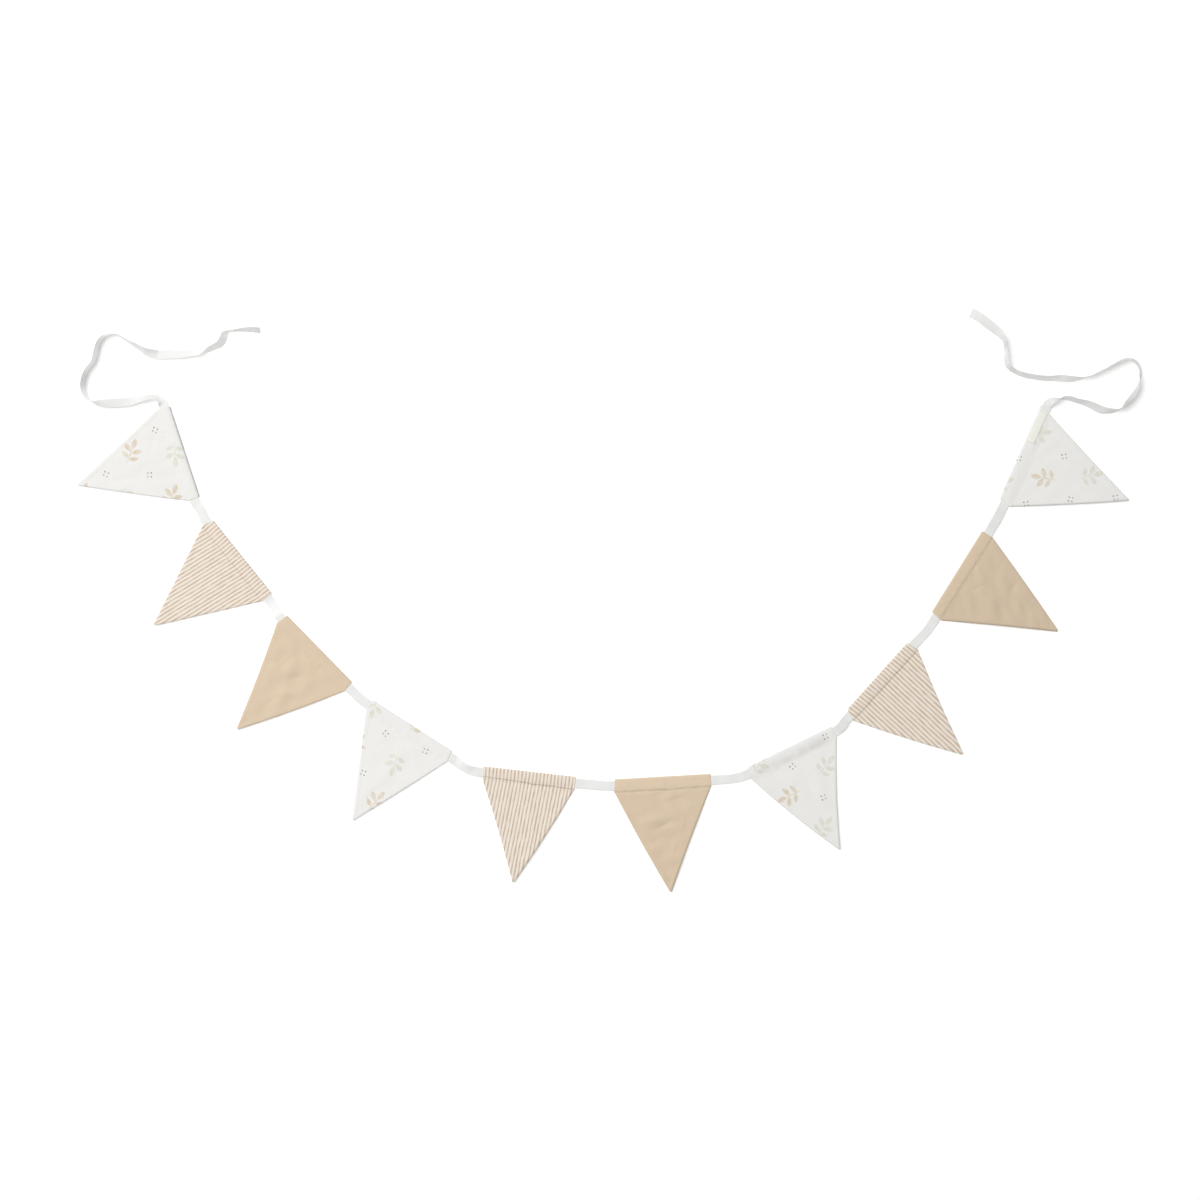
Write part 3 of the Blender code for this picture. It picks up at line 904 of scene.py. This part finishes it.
@dataclass(frozen=True)
class TwillTape:
    """White herringbone tape with firm selvedges."""

    colour: Colour = (236, 236, 234)
    rib: float = 1.3
    twill: float = 2.4
    selvedge: tuple[float, float] = (6.2, 6.9)
    roughness: float = 0.86
    relief: float = 0.22

    def material(self, name: str) -> Material:
        """Writes the tape's material.

        Args:
            name: The material's name.

        Returns:
            The material.
        """
        book = ShaderBook(name)
        cloth = book.map_in_mm("cloth")
        aside, along = cloth.part("X"), cloth.part("Y")
        slant = ((abs(aside) + along) * (2 * math.pi / self.twill)).sine() * 0.5 + 0.5
        ribs = abs((aside * (math.pi / self.rib)).sine())
        firm = abs(aside).eased(*self.selvedge)
        height = (slant * 0.6 + ribs * 0.4) * (1 - firm) + firm * 0.9
        tone = 1.0 + (cloth.noise(0.8, 12.0) - 0.5) * 0.05
        # Large random patches of tone, and painted shade in the twill's low lines.
        tone = tone + (cloth.noise(40.0, 40.0) - 0.5) * 0.03 - (1 - slant) * 0.03
        # Painted shade along the tape from the shade map, and painted light where that is below 0.
        tone = tone - book.map_in_mm("shade").part("X")
        colour = book.toned(linear_rgb(self.colour), tone)
        return book.fabric(colour, self.roughness - firm * 0.06, height, self.relief)


@dataclass(frozen=True)
class LabelCloth:
    """Pale cream label cloth with a fine rib, left blank."""

    colour: Colour = (243, 242, 233)
    rib: float = 0.5
    roughness: float = 0.7
    relief: float = 0.08

    def material(self, name: str) -> Material:
        """Writes the label's material.

        Args:
            name: The material's name.

        Returns:
            The material.
        """
        book = ShaderBook(name)
        cloth = book.map_in_mm("cloth")
        ribs = abs((cloth.part("Y") * (math.pi / self.rib)).sine())
        # Random tone along the weft, and a painted highlight on the ribs' crests.
        tone = 0.98 + (cloth.noise(12.0, 0.8) - 0.5) * 0.05 + ribs * 0.02
        colour = book.toned(linear_rgb(self.colour), tone)
        return book.fabric(colour, self.roughness - ribs * 0.1, ribs, self.relief)


@dataclass(frozen=True)
class SewingThread:
    """Twisted sewing thread in one colour."""

    colour: Colour
    roughness: float = 0.7
    relief: float = 0.05

    def material(self, name: str) -> Material:
        """Writes the thread's material.

        Args:
            name: The material's name.

        Returns:
            The material.
        """
        book = ShaderBook(name)
        cloth = book.map_in_mm("cloth")
        twist = (cloth.part("Y") * 9.0 + cloth.part("X") * 4.0).sine() * 0.5 + 0.5
        # Painted shade in the twist's grooves, where the relief is low.
        colour = book.toned(linear_rgb(self.colour), twist * 0.07 + 0.93)
        return book.fabric(colour, twist * 0.1 + self.roughness, twist, self.relief)


FINISHES = {
    Cloth.PRINTED: PrintedCotton((239, 238, 235), slub=0.03, mottle=0.03),
    Cloth.STRIPED: StripedCotton((241, 231, 218), slub=0.08, mottle=0.03),
    Cloth.PLAIN: PlainCotton((218, 198, 172)),
}
THREADS = {
    Cloth.PRINTED: SewingThread((246, 244, 240)),
    Cloth.STRIPED: SewingThread((208, 184, 160)),
    Cloth.PLAIN: SewingThread((238, 224, 204)),
}
CRUMPLE = {
    Cloth.PRINTED: Ripple(0.2, 26),
    Cloth.STRIPED: Ripple(0.24, 26),
    Cloth.PLAIN: Ripple(0.58, 26),
}
CHANNEL_RIPPLE = Ripple(0.1, 17, seed=40)
PUCKERS = Ripple(0.2, 8, seed=80)
STITCH_WANDER = Ripple(0.12, 30, seed=120)
LABEL_RIPPLE = Ripple(0.05, 14, seed=7)


@dataclass(frozen=True)
class Stitch:
    """A kind of stitch: its length, its pace from start to start, its thread's radius and its arc.

    The arc is told as shares of the length and, in thread radii, how far it rises there.
    """

    length: float
    pace: float
    radius: float
    rises: tuple[float, ...]
    shares: tuple[float, ...] = (0.0, 0.2, 0.5, 0.8, 1.0)

    def arc(self) -> tuple[Array, Array]:
        """Places along one stitch and how far it rises there."""
        return self.length * np.array(self.shares), self.radius * np.array(self.rises)


CHANNEL_STITCH = Stitch(2.4, 3.1, 0.24, (-0.9, 0.4, 0.8, 0.4, -0.9), (0.0, 0.15, 0.5, 0.85, 1.0))
HEM_STITCH = Stitch(1.8, 2.4, 0.2, (-0.6, 0.6, 1.0, 0.6, -0.6))
LABEL_STITCH = Stitch(1.7, 2.3, 0.18, (-1.0, 0.5, 0.8, 0.5, -1.0))


@dataclass
class Piece:
    """A mesh in the making: its corners in millimetres, its faces and its three maps."""

    name: str
    corners: list[Vector] = field(default_factory=list)
    faces: list[tuple[int, ...]] = field(default_factory=list)
    cloth: list[tuple[float, float]] = field(default_factory=list)
    seam: list[tuple[float, float]] = field(default_factory=list)
    shade: list[float] = field(default_factory=list)

    def add_grid(
        self,
        places: tuple[Array, Array, Array],
        cloth: tuple[Array, Array],
        seam: tuple[Array, Array],
        shade: Array,
    ) -> None:
        """Adds a grid of faces that look up.

        Args:
            places: x, y and height of the grid's points, in rows that run down the cloth.
            cloth: The flat cloth's own places.
            seam: Distances from the sewn edge and from the stitched line.
            shade: How much painted shade darkens the cloth.
        """
        start, (rows, columns) = len(self.corners), shade.shape
        self.corners += [Vector(p) for p in zip(*(part.ravel() for part in places))]
        self.shade += list(shade.ravel())
        self.cloth += list(zip(cloth[0].ravel(), cloth[1].ravel()))
        self.seam += list(zip(seam[0].ravel(), seam[1].ravel()))
        for row in range(rows - 1):
            for column in range(columns - 1):
                here = start + row * columns + column
                self.faces.append((here, here + columns, here + columns + 1, here + 1))

    def add_tube(self, start: int, rings: int, sides: int) -> None:
        """Joins rings of corners by faces and closes both ends.

        Args:
            start: The first corner of the first ring.
            rings: How many rings there are.
            sides: How many corners each ring has.
        """
        last = start + (rings - 1) * sides
        for ring in range(start, last, sides):
            for side in range(sides):
                here, there = ring + side, ring + (side + 1) % sides
                self.faces.append((here, there, there + sides, here + sides))
        self.faces.append(tuple(start + side for side in reversed(range(sides))))
        self.faces.append(tuple(last + side for side in range(sides)))

    def add_strand(self, path: Sequence[Vector], radius: float, sides: int = 6) -> None:
        """Adds a short thread along a path, with closed and slimmer ends.

        Args:
            path: The points that it follows.
            radius: Its radius.
            sides: The sides of its section.
        """
        start, count = len(self.corners), len(path)
        for index, point in enumerate(path):
            ahead = (path[min(index + 1, count - 1)] - path[max(index - 1, 0)]).normalized()
            level = UP.cross(ahead).normalized()
            rise = ahead.cross(level)
            slim = radius * (0.55 if index in (0, count - 1) else 1.0)
            for side in range(sides):
                turn = 2 * math.pi * side / sides
                self.corners.append(point + (level * math.cos(turn) + rise * math.sin(turn)) * slim)
                self.cloth.append((side * 0.2, index * 0.5))
                self.seam.append((0.0, 0.0))
                self.shade.append(0.0)
        self.add_tube(start, count, sides)

    def finish(self, material: Material, place: Matrix) -> Object:
        """Makes the object, which rides on the bunting's one body.

        Args:
            material: What it is made of.
            place: Where its own frame is in the bunting's.

        Returns:
            The object.
        """
        mesh = bpy.data.meshes.new(self.name)
        mesh.from_pydata([place @ corner * MM for corner in self.corners], [], self.faces)
        shade = [(dark, 0.0) for dark in self.shade]
        for name, places in (("cloth", self.cloth), ("seam", self.seam), ("shade", shade)):
            layer = mesh.uv_layers.new(name=name)
            corners = np.array(places, float)[[loop.vertex_index for loop in mesh.loops]]
            layer.uv.foreach_set("vector", (corners * MM).ravel())
        mesh.shade_smooth()
        mesh.materials.append(material)
        made = bpy.data.objects.new(self.name, mesh)
        bpy.context.scene.collection.objects.link(made)
        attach(made, "root")
        return made


def thicken(made: Object, thickness: float, offset: float) -> None:
    """Gives a sheet its thickness.

    Args:
        made: The sheet, whose faces look up.
        thickness: In millimetres.
        offset: 1 to grow upwards and -1 downwards.
    """
    solidify = made.modifiers.new("cloth", "SOLIDIFY")
    solidify.thickness = thickness * MM
    solidify.offset = offset


@dataclass
class FlagPanels:
    """One flag: a front panel over the tape, a back panel under it and their stitched line."""

    number: int
    cut: FlagCut
    creases: tuple[Crease, ...]
    edge_steps: tuple[float, ...] = (0.0, 0.3, 0.8, 1.5, 2.5, 4.0, 5.4, 6.8)
    columns: int = 60
    coarser_back: float = 1.8
    stitches_from: float = 2.5
    grain_shift: float = 1.7

    @property
    def name(self) -> str:
        """The start of the flag's piece and node names."""
        return f"flag_{self.number:02d}"

    def grid(self, fine: float) -> tuple[Array, Array]:
        """Rows from the top edge to the point, closer together at edges and seams.

        Args:
            fine: 1 for the usual spacing, more for a coarser grid.

        Returns:
            The x and y of the grid's points.
        """
        drop = self.cut.drop
        stops = (CHANNEL / 2, 7.6, -4.0, -13.0, -24.0, 4.0 - drop, -drop)
        rows = stretches(stops, (0.4, 1.5 * fine, 0.5, 1.4 * fine, 2.4 * fine, 0.6))
        first, second = self.cut.sides(rows)
        steps = np.array(self.edge_steps)
        squeeze = np.minimum(1.0, (second - first) / (3.0 * steps[-1]))[:, None]
        left = first[:, None] + steps[None] * squeeze
        right = second[:, None] - steps[None, ::-1] * squeeze
        shares = np.linspace(0, 1, round(self.columns / fine) + 2)[None, 1:-1]
        middle = left[:, -1:] + (right[:, :1] - left[:, -1:]) * shares
        x = np.concatenate([left, middle, right], axis=1)
        return x, np.broadcast_to(rows[:, None], x.shape)

    def rounding(self, x: Array, y: Array) -> Array:
        """0 on a sewn edge and 1 past its rounding."""
        inward = np.clip(self.cut.from_sewn_edge(x, y) / EDGE_ROUND, 0, 1)
        return np.sqrt(1 - (1 - inward) ** 2)

    def parting(self, x: Array, y: Array) -> Array:
        """The height at which the two panels meet along a sewn edge."""
        return SOLID_CLOTH + GAP / 2 + self.cut.lift(x, y)

    def seam_relief(self, x: Array, y: Array) -> Array:
        """The puckers, the lap and the groove of the stitched line.

        Args:
            x: Places along the channel.
            y: Heights above the channel's middle line.

        Returns:
            The relief at each place.
        """
        cut, off_line = self.cut, self.cut.stitched(x) - y
        puckers = PUCKERS.at(x, 0.3 * y, self.number) * hump(off_line, PUCKER_REACH)
        past_lap = smooth((x - LAP_AT) / LAP_RUN + 0.5)
        lap = cut.lap * hump(x - LAP_AT, LAP_REACH) * (1 - past_lap)
        groove = (GROOVE_DEPTH + LINE_DEPTH * cut.line) * hump(off_line, GROOVE_WIDTH)
        return puckers + lap * smooth(1 - off_line / LAP_FALL) - groove

    def face(self, x: Array, y: Array) -> Array:
        """The front panel's upper side.

        Args:
            x: Places along the channel.
            y: Heights above the channel's middle line.

        Returns:
            The height off the surface that the bunting lies on.
        """
        cut = self.cut
        below = SEAM_LINE - y
        share = np.clip(below / (cut.drop + SEAM_LINE), 0, 1)
        inside = np.clip(1 - cut.across(x, y) ** 4, 0, 1) * smooth(below / BODY_RUN)
        body = cut.puff * np.sin(math.pi * share) ** PUFF_POWER
        body = body + sum(crease.relief(x, y) for crease in self.creases)
        body = body + CRUMPLE[cut.cloth].at(x, y, self.number)
        past_allowance = ALLOWANCE + ALLOWANCE_RUN / 2 - cut.from_sewn_edge(x, y)
        sewn_in = smooth(past_allowance / ALLOWANCE_RUN) * smooth(below / ALLOWANCE_TOP)
        slack = CHANNEL_RIPPLE.at(x, y, self.number) * smooth(1 - (y / SLACK_REACH) ** 2)
        relief = cut.channel_rise(x, y) + slack + body * inside + ALLOWANCE_RISE * sewn_in
        top = 2 * SOLID_CLOTH + GAP + cut.lift(x, y) + relief + self.seam_relief(x, y)
        edge = self.parting(x, y) + EDGE_PARTING
        return edge + (top - edge) * self.rounding(x, y)

    def underside(self, x: Array, y: Array) -> Array:
        """The back panel's lower side.

        Args:
            x: Places along the channel.
            y: Heights above the channel's middle line.

        Returns:
            The height off the surface that the bunting lies on.
        """
        dent = DENT_DEPTH * hump(self.cut.stitched(x) - y, DENT_WIDTH)
        low = self.cut.lift(x, y) + dent
        edge = self.parting(x, y) - EDGE_PARTING
        return edge - (edge - low) * self.rounding(x, y)

    def flat_place(self, x: Array, y: Array) -> tuple[Array, Array]:
        """Where each place was in the flat cloth, whose grain leans a little."""
        lean = np.where(y >= SEAM_LINE, self.cut.channel_lean, self.cut.lean)
        return x - lean * (y - SEAM_LINE) + self.number * self.grain_shift, y

    def flat_area(self) -> float:
        """The flat area of one panel.

        Returns:
            The area in square metres.
        """
        cut = self.cut
        channel = CHANNEL * (cut.top_from + cut.top_to + cut.seam_from + cut.seam_to) / 2
        body = (cut.drop + SEAM_LINE) * (cut.seam_from + cut.seam_to + TIP_WIDTH) / 2
        return (channel + body) * MM * MM

    def build_panel(self, side: Side, material: Material) -> Object:
        """Makes one panel as a thin sheet.

        Args:
            side: Which of the two.
            material: Its cloth.

        Returns:
            The object.
        """
        front = side is Side.FRONT
        x, y = self.grid(1.0 if front else self.coarser_back)
        z = self.face(x, y) if front else self.underside(x, y)
        piece = Piece(f"{self.name}_{side.value}_cloth")
        seam = (self.cut.from_sewn_edge(x, y), y - self.cut.stitched(x))
        piece.add_grid((x, y, z), self.flat_place(x, y), seam, self.cut.rim_shade(x, y))
        made = piece.finish(material, self.cut.place())
        thicken(made, CLOTH, -1.0 if front else 1.0)
        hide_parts(f"{self.name}_{side.value}")
        return made

    def build_stitches(self, material: Material) -> Object:
        """Makes the stitches of the channel's line, on both panels.

        Args:
            material: The thread.

        Returns:
            The object.
        """
        piece = Piece(f"{self.name}_stitches")
        stitch, (along, rises) = CHANNEL_STITCH, CHANNEL_STITCH.arc()
        first = self.stitches_from - self.cut.seam_from
        reach = self.cut.seam_from + self.cut.seam_to - 2 * self.stitches_from
        for height, out, shift in ((self.face, 1.0, 0.0), (self.underside, -1.0, stitch.pace / 2)):
            for index in range(int(reach // stitch.pace)):
                x = first + index * stitch.pace + shift + along
                y = self.cut.stitched(x) + STITCH_WANDER.at(x, 0 * x, self.number)
                z = height(x, y) + out * rises
                piece.add_strand([Vector(p) for p in zip(x, y, z)], stitch.radius)
        return piece.finish(material, self.cut.place())

    def make(self) -> None:
        """Builds and dresses the flag's panels and stitches, and logs them."""
        finish = FINISHES[self.cut.cloth]
        cloth = finish.material(f"{self.name}_{self.cut.cloth.value}", self.cut)
        thread = THREADS[self.cut.cloth].material(f"{self.name}_thread")
        back = self.build_panel(Side.BACK, cloth)
        front = self.build_panel(Side.FRONT, cloth)
        stitches = self.build_stitches(thread)
        area = self.flat_area()
        for made in (back, front, stitches):
            LOG.info("made %s with %d faces", made.name, len(made.data.polygons))


@dataclass
class Section:
    """One section of the tape: its middle, roll, painted shade, thickness and place along it."""

    point: Vector
    roll: float
    shade: float = 0.0
    thickness: float = TAPE
    along: float = 0.0


@dataclass
class TieTape:
    """The woven tape, from its first tie end through the ten channels to its last."""

    station: float = 2.5
    clear_of_mouth: float = 3.0
    floor_gap: float = 0.15
    sinks: float = 1.4
    shade_grows: float = 3.0
    hem_run: float = 1.2
    channel_stations: int = 40
    section_shares: tuple[float, ...] = (-1.0, -0.95, -0.7, -0.35, 0.0, 0.35, 0.7, 0.95, 1.0)
    selvedge_slim: float = 0.6
    hem_stitches_in: float = 2.5
    hem_stitches_across: tuple[float, float] = (-6.6, 5.0)

    def resting(self, roll: float) -> float:
        """The height of the tape's middle where its lower edge is just clear of the surface."""
        wide, thick = abs(math.sin(math.radians(roll))), abs(math.cos(math.radians(roll)))
        return (TAPE_WIDTH * wide + SOLID_TAPE * thick) / 2 + self.floor_gap

    def in_channel(self, cut: FlagCut, x: float) -> Vector:
        """A point of the tape's middle line, x along a flag's channel."""
        turn = math.radians(cut.heading)
        return Vector((cut.x + x * math.cos(turn), cut.y + x * math.sin(turn), TAPE_LEVEL))

    def reach(self, cut: FlagCut) -> tuple[float, float]:
        """How far the tape runs straight and level through a flag, back and on."""
        clear = self.clear_of_mouth
        return -max(cut.top_from, cut.seam_from) - clear, max(cut.top_to, cut.seam_to) + clear

    def link_sections(self, cut: FlagCut, following: FlagCut, link: Link) -> list[Section]:
        """The tape between two flags: a soft curve that sinks to the surface and twists a little.

        Args:
            cut: The flag before.
            following: The flag after.
            link: The tape's twist and turn between them.

        Returns:
            The sections between the two mouths.
        """
        start = self.in_channel(cut, self.reach(cut)[1])
        end = self.in_channel(following, self.reach(following)[0])
        pull = (end - start).length / 3
        out = self.in_channel(cut, self.reach(cut)[1] + pull)
        back = self.in_channel(following, self.reach(following)[0] - pull)
        aside = UP.cross(end - start).normalized()
        steps = max(8, round((end - start).length / self.station))
        sections = []
        for step in range(1, steps):
            share, rest = step / steps, 1 - step / steps
            point = start * rest**3 + out * 3 * rest**2 * share
            point += back * 3 * rest * share**2 + end * share**3
            swell = math.sin(math.pi * share) ** 2
            roll = link.twist * swell
            point += aside * link.aside * swell
            point.z = TAPE_LEVEL + (self.resting(roll) - TAPE_LEVEL) * min(1.0, self.sinks * swell)
            # Painted shade on the tape between the flags, which fades out towards the mouths.
            shade = link.shade * min(1.0, self.shade_grows * swell)
            sections.append(Section(point, roll, shade))
        return sections

    def curve_through(self, bends: Sequence[Bend]) -> list[Section]:
        """Bends joined by one smooth curve.

        Args:
            bends: The bends in order.

        Returns:
            A section every few millimetres.
        """
        sections = []
        padded = (bends[0], *bends, bends[-1])
        for around in zip(padded, padded[1:], padded[2:], padded[3:]):
            here, there = around[1], around[2]
            steps = max(1, round(math.hypot(there.x - here.x, there.y - here.y) / self.station))
            for step in range(steps):
                t = step / steps
                weights = (
                    (-t + 2 * t**2 - t**3) / 2,
                    (2 - 5 * t**2 + 3 * t**3) / 2,
                    (t + 4 * t**2 - 3 * t**3) / 2,
                    (t**3 - t**2) / 2,
                )
                x, y, roll, shade = (
                    sum(w * getattr(bend, part) for w, bend in zip(weights, around))
                    for part in ("x", "y", "roll", "shade")
                )
                sections.append(Section(Vector((x, y, self.resting(roll))), roll, shade))
        last = bends[-1]
        point = Vector((last.x, last.y, self.resting(last.roll)))
        return [*sections, Section(point, last.roll, last.shade)]

    def hemmed(self, sections: list[Section]) -> list[Section]:
        """The same sections, twice as thick along the hem that the first of them ends in.

        Args:
            sections: Sections from a tie end inwards.

        Returns:
            The sections with the hem.
        """
        length, last = 0.0, sections[0]
        for section in sections:
            length += (section.point - last.point).length
            last = section
            folded = 1 - smooth((length - HEM_LENGTH) / self.hem_run)
            section.thickness = TAPE * (1 + folded)
            section.point = section.point + UP * (section.thickness - TAPE) / 2
        return sections

    def sections(self) -> list[Section]:
        """The whole tape.

        Returns:
            Every section in order, with its place along the tape.
        """
        first_mouth = self.in_channel(FLAGS[0], self.reach(FLAGS[0])[0])
        last_mouth = self.in_channel(FLAGS[-1], self.reach(FLAGS[-1])[1])
        lead_in = (*FIRST_END, Bend(first_mouth.x, first_mouth.y, 0))
        lead_out = (Bend(last_mouth.x, last_mouth.y, 0), *LAST_END)
        found = self.hemmed(self.curve_through(lead_in)[:-1])
        for index, cut in enumerate(FLAGS):
            back, on = self.reach(cut)
            inside = np.linspace(back, on, self.channel_stations)
            found += [Section(self.in_channel(cut, float(x)), 0.0) for x in inside]
            if index < len(LINKS):
                found += self.link_sections(cut, FLAGS[index + 1], LINKS[index])
        found += self.hemmed(self.curve_through(lead_out)[:0:-1])[::-1]
        for before, here in zip(found, found[1:]):
            here.along = before.along + (here.point - before.point).length
        return found

    def frame_of(self, sections: list[Section], index: int) -> tuple[Vector, Vector]:
        """The tape's width and depth directions at a section.

        Args:
            sections: All sections.
            index: Which one.

        Returns:
            Unit vectors across the tape and out of its face.
        """
        before, after = sections[max(index - 1, 0)], sections[min(index + 1, len(sections) - 1)]
        ahead = (after.point - before.point).normalized()
        level = UP.cross(ahead).normalized()
        rise = ahead.cross(level)
        turn = math.radians(sections[index].roll)
        across = level * math.cos(turn) + rise * math.sin(turn)
        return across, rise * math.cos(turn) - level * math.sin(turn)

    def build(self, material: Material) -> tuple[Object, float]:
        """Makes the tape as one woven strip.

        Args:
            material: The tape's cloth.

        Returns:
            The object and the tape's length in millimetres.
        """
        sections = self.sections()
        piece = Piece("tape_woven")
        shares = self.section_shares
        ring = [(share, 1.0) for share in reversed(shares)] + [(share, -1.0) for share in shares]
        for index, section in enumerate(sections):
            width, depth = self.frame_of(sections, index)
            for share, side in ring:
                slim = self.selvedge_slim if abs(share) == 1.0 else 1.0
                aside = share * TAPE_WIDTH / 2
                out = depth * (side * section.thickness / 2 * slim) + width * aside
                piece.corners.append(section.point + out)
                piece.cloth.append((aside, section.along))
                piece.seam.append((0.0, 0.0))
                piece.shade.append(section.shade)
        piece.add_tube(0, len(sections), len(ring))
        made = piece.finish(material, CENTRED)
        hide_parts("tape")
        return made, sections[-1].along

    def build_stitches(self, material: Material) -> Object:
        """Makes the stitches that close the hem of each tie end.

        Args:
            material: The thread.

        Returns:
            The object.
        """
        sections = self.sections()
        piece = Piece("tape_stitches")
        hem = HEM_LENGTH - self.hem_stitches_in
        stitch, arc = HEM_STITCH, list(zip(*HEM_STITCH.arc()))
        places = [section.along for section in sections]
        for along in (hem, places[-1] - hem):
            index = int(np.argmin([abs(place - along) for place in places]))
            section = sections[index]
            width, depth = self.frame_of(sections, index)
            for side in (1.0, -1.0):
                for start in np.arange(*self.hem_stitches_across, stitch.pace):
                    path = []
                    for step, rise in arc:
                        out = depth * (side * (section.thickness / 2 + rise))
                        path.append(section.point + out + width * (start + step))
                    piece.add_strand(path, stitch.radius)
        return piece.finish(material, CENTRED)

    def make(self) -> None:
        """Builds and dresses the tape and its hems' stitches, and logs the tape."""
        made, length = self.build(TwillTape().material("tape_twill"))
        stitches = self.build_stitches(SewingThread((243, 243, 240)).material("tape_thread"))
        size = (TAPE_WIDTH * MM, length * MM)
        LOG.info("made %s, %.0f mm long, with %d faces", made.name, length, len(made.data.polygons))


@dataclass
class BlankLabel:
    """The small blank label sewn on the last flag's channel, with its ends turned under."""

    panels: FlagPanels
    length: float = 52.0
    middle: float = 48.0
    top: float = 8.0
    bottom: float = -5.0
    thickness: float = 0.3
    clear: float = 0.05
    turned_end: float = 3.0
    turned_rise: float = 0.12
    stitches_in: float = 1.6
    stitches_above: float = 0.8

    def build(self, material: Material) -> Object:
        """Makes the label as a thin sheet on the channel.

        Args:
            material: Its cloth.

        Returns:
            The object.
        """
        xs = np.linspace(self.middle - self.length / 2, self.middle + self.length / 2, 40)
        ys = np.linspace(self.top, self.bottom, 16)
        x, y = np.meshgrid(xs, ys)
        ends = np.minimum(x - xs[0], xs[-1] - x)
        turned = self.turned_rise * (1 - smooth(ends - self.turned_end))
        z = self.panels.face(x, y) + self.clear + self.thickness + turned + LABEL_RIPPLE.at(x, y)
        piece = Piece("label_cloth")
        piece.add_grid((x, y, z), (x, y), (ends, y), np.zeros(x.shape))
        made = piece.finish(material, self.panels.cut.place())
        thicken(made, self.thickness, -1.0)
        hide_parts("label")
        return made

    def build_stitches(self, material: Material) -> Object:
        """Makes the row of stitches across each end of the label.

        Args:
            material: The thread.

        Returns:
            The object.
        """
        piece = Piece("label_stitches")
        stitch, (along, rises) = LABEL_STITCH, LABEL_STITCH.arc()
        rises = rises + self.clear + self.thickness + self.turned_rise
        last = self.top - stitch.length
        for end in (-1.0, 1.0):
            x = self.middle + end * (self.length / 2 - self.stitches_in)
            for start in np.arange(self.bottom + self.stitches_above, last, stitch.pace):
                y = start + along
                z = self.panels.face(np.full(len(y), x), y) + rises
                piece.add_strand([Vector((x, *p)) for p in zip(y, z)], stitch.radius)
        return piece.finish(material, self.panels.cut.place())

    def make(self) -> None:
        """Builds and dresses the label and its stitches, and logs the label."""
        made = self.build(LabelCloth().material("label_ribbed"))
        stitches = self.build_stitches(SewingThread((246, 244, 234)).material("label_thread"))
        size = ((self.top - self.bottom) * MM, self.length * MM)
        LOG.info("made %s with %d faces", made.name, len(made.data.polygons))


@dataclass
class Studio:
    """The pale floor, the soft light from the upper left and the camera straight above."""

    view_width: float = 1.896
    view_middle: float = -0.01587
    camera_height: float = 6.0
    sensor: float = 36.0
    light_at: tuple[float, float, float] = (-2.05, 1.7, 4.9)
    light_size: float = 4.2
    light_power: float = 242.0
    sky: float = 0.415
    floor_glow: float = 0.22
    floor_radius: float = 60.0
    floor_level: float = -0.0002

    def lay_floor(self) -> None:
        """Makes the floor, a wide pale disc just under the bunting."""
        bpy.ops.mesh.primitive_circle_add(vertices=64, radius=self.floor_radius, fill_type="NGON")
        floor = bpy.context.object
        floor.name = "floor"
        floor.location.z = self.floor_level
        book = ShaderBook("floor_paint")
        inputs = {
            "Base Color": (0.94, 0.94, 0.935),
            "Roughness": 0.9,
            "Specular IOR Level": 0.0,
            "Emission Color": (1, 1, 1),
            "Emission Strength": self.floor_glow,
        }
        shader = book.node("ShaderNodeBsdfPrincipled", {}, inputs)
        book.node("ShaderNodeOutputMaterial", {}, {"Surface": shader})
        floor.data.materials.append(book.material)

    def hang_lights(self) -> None:
        """Makes the large soft lamp and the even sky."""
        lamp = bpy.data.lights.new("soft_key", "AREA")
        lamp.shape = "SQUARE"
        lamp.size = self.light_size
        lamp.energy = self.light_power
        key = bpy.data.objects.new("soft_key", lamp)
        key.location = self.light_at
        key.rotation_euler = (-Vector(self.light_at)).to_track_quat("-Z", "Y").to_euler()
        bpy.context.scene.collection.objects.link(key)
        world = bpy.data.worlds.new("even_sky")
        world.use_nodes = True
        background = world.node_tree.nodes["Background"].inputs
        background["Color"].default_value = (1, 1, 1, 1)
        background["Strength"].default_value = self.sky
        bpy.context.scene.world = world

    def set_camera(self) -> None:
        """Puts the camera straight above the middle of the picture."""
        camera = bpy.data.cameras.new("camera")
        camera.sensor_width = self.sensor
        camera.lens = self.sensor * self.camera_height / self.view_width
        camera.clip_end = 200
        holder = bpy.data.objects.new("camera", camera)
        holder.location = (self.view_middle, 0, self.camera_height)
        bpy.context.scene.collection.objects.link(holder)
        bpy.context.scene.camera = holder
        bpy.context.scene.view_settings.view_transform = "Standard"


def main() -> None:
    """Loads the frame, builds every part of the bunting in order and sets the studio."""
    logging.basicConfig(level=logging.INFO, format="%(name)s: %(message)s")
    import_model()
    studio = Studio()
    studio.lay_floor()
    studio.hang_lights()
    studio.set_camera()
    cuts = enumerate(zip(FLAGS, CREASES), start=1)
    panels = [FlagPanels(number, cut, creases) for number, (cut, creases) in cuts]
    for flag in panels:
        flag.make()
    TieTape().make()
    BlankLabel(panels[-1]).make()


if __name__ == "__main__":
    main()
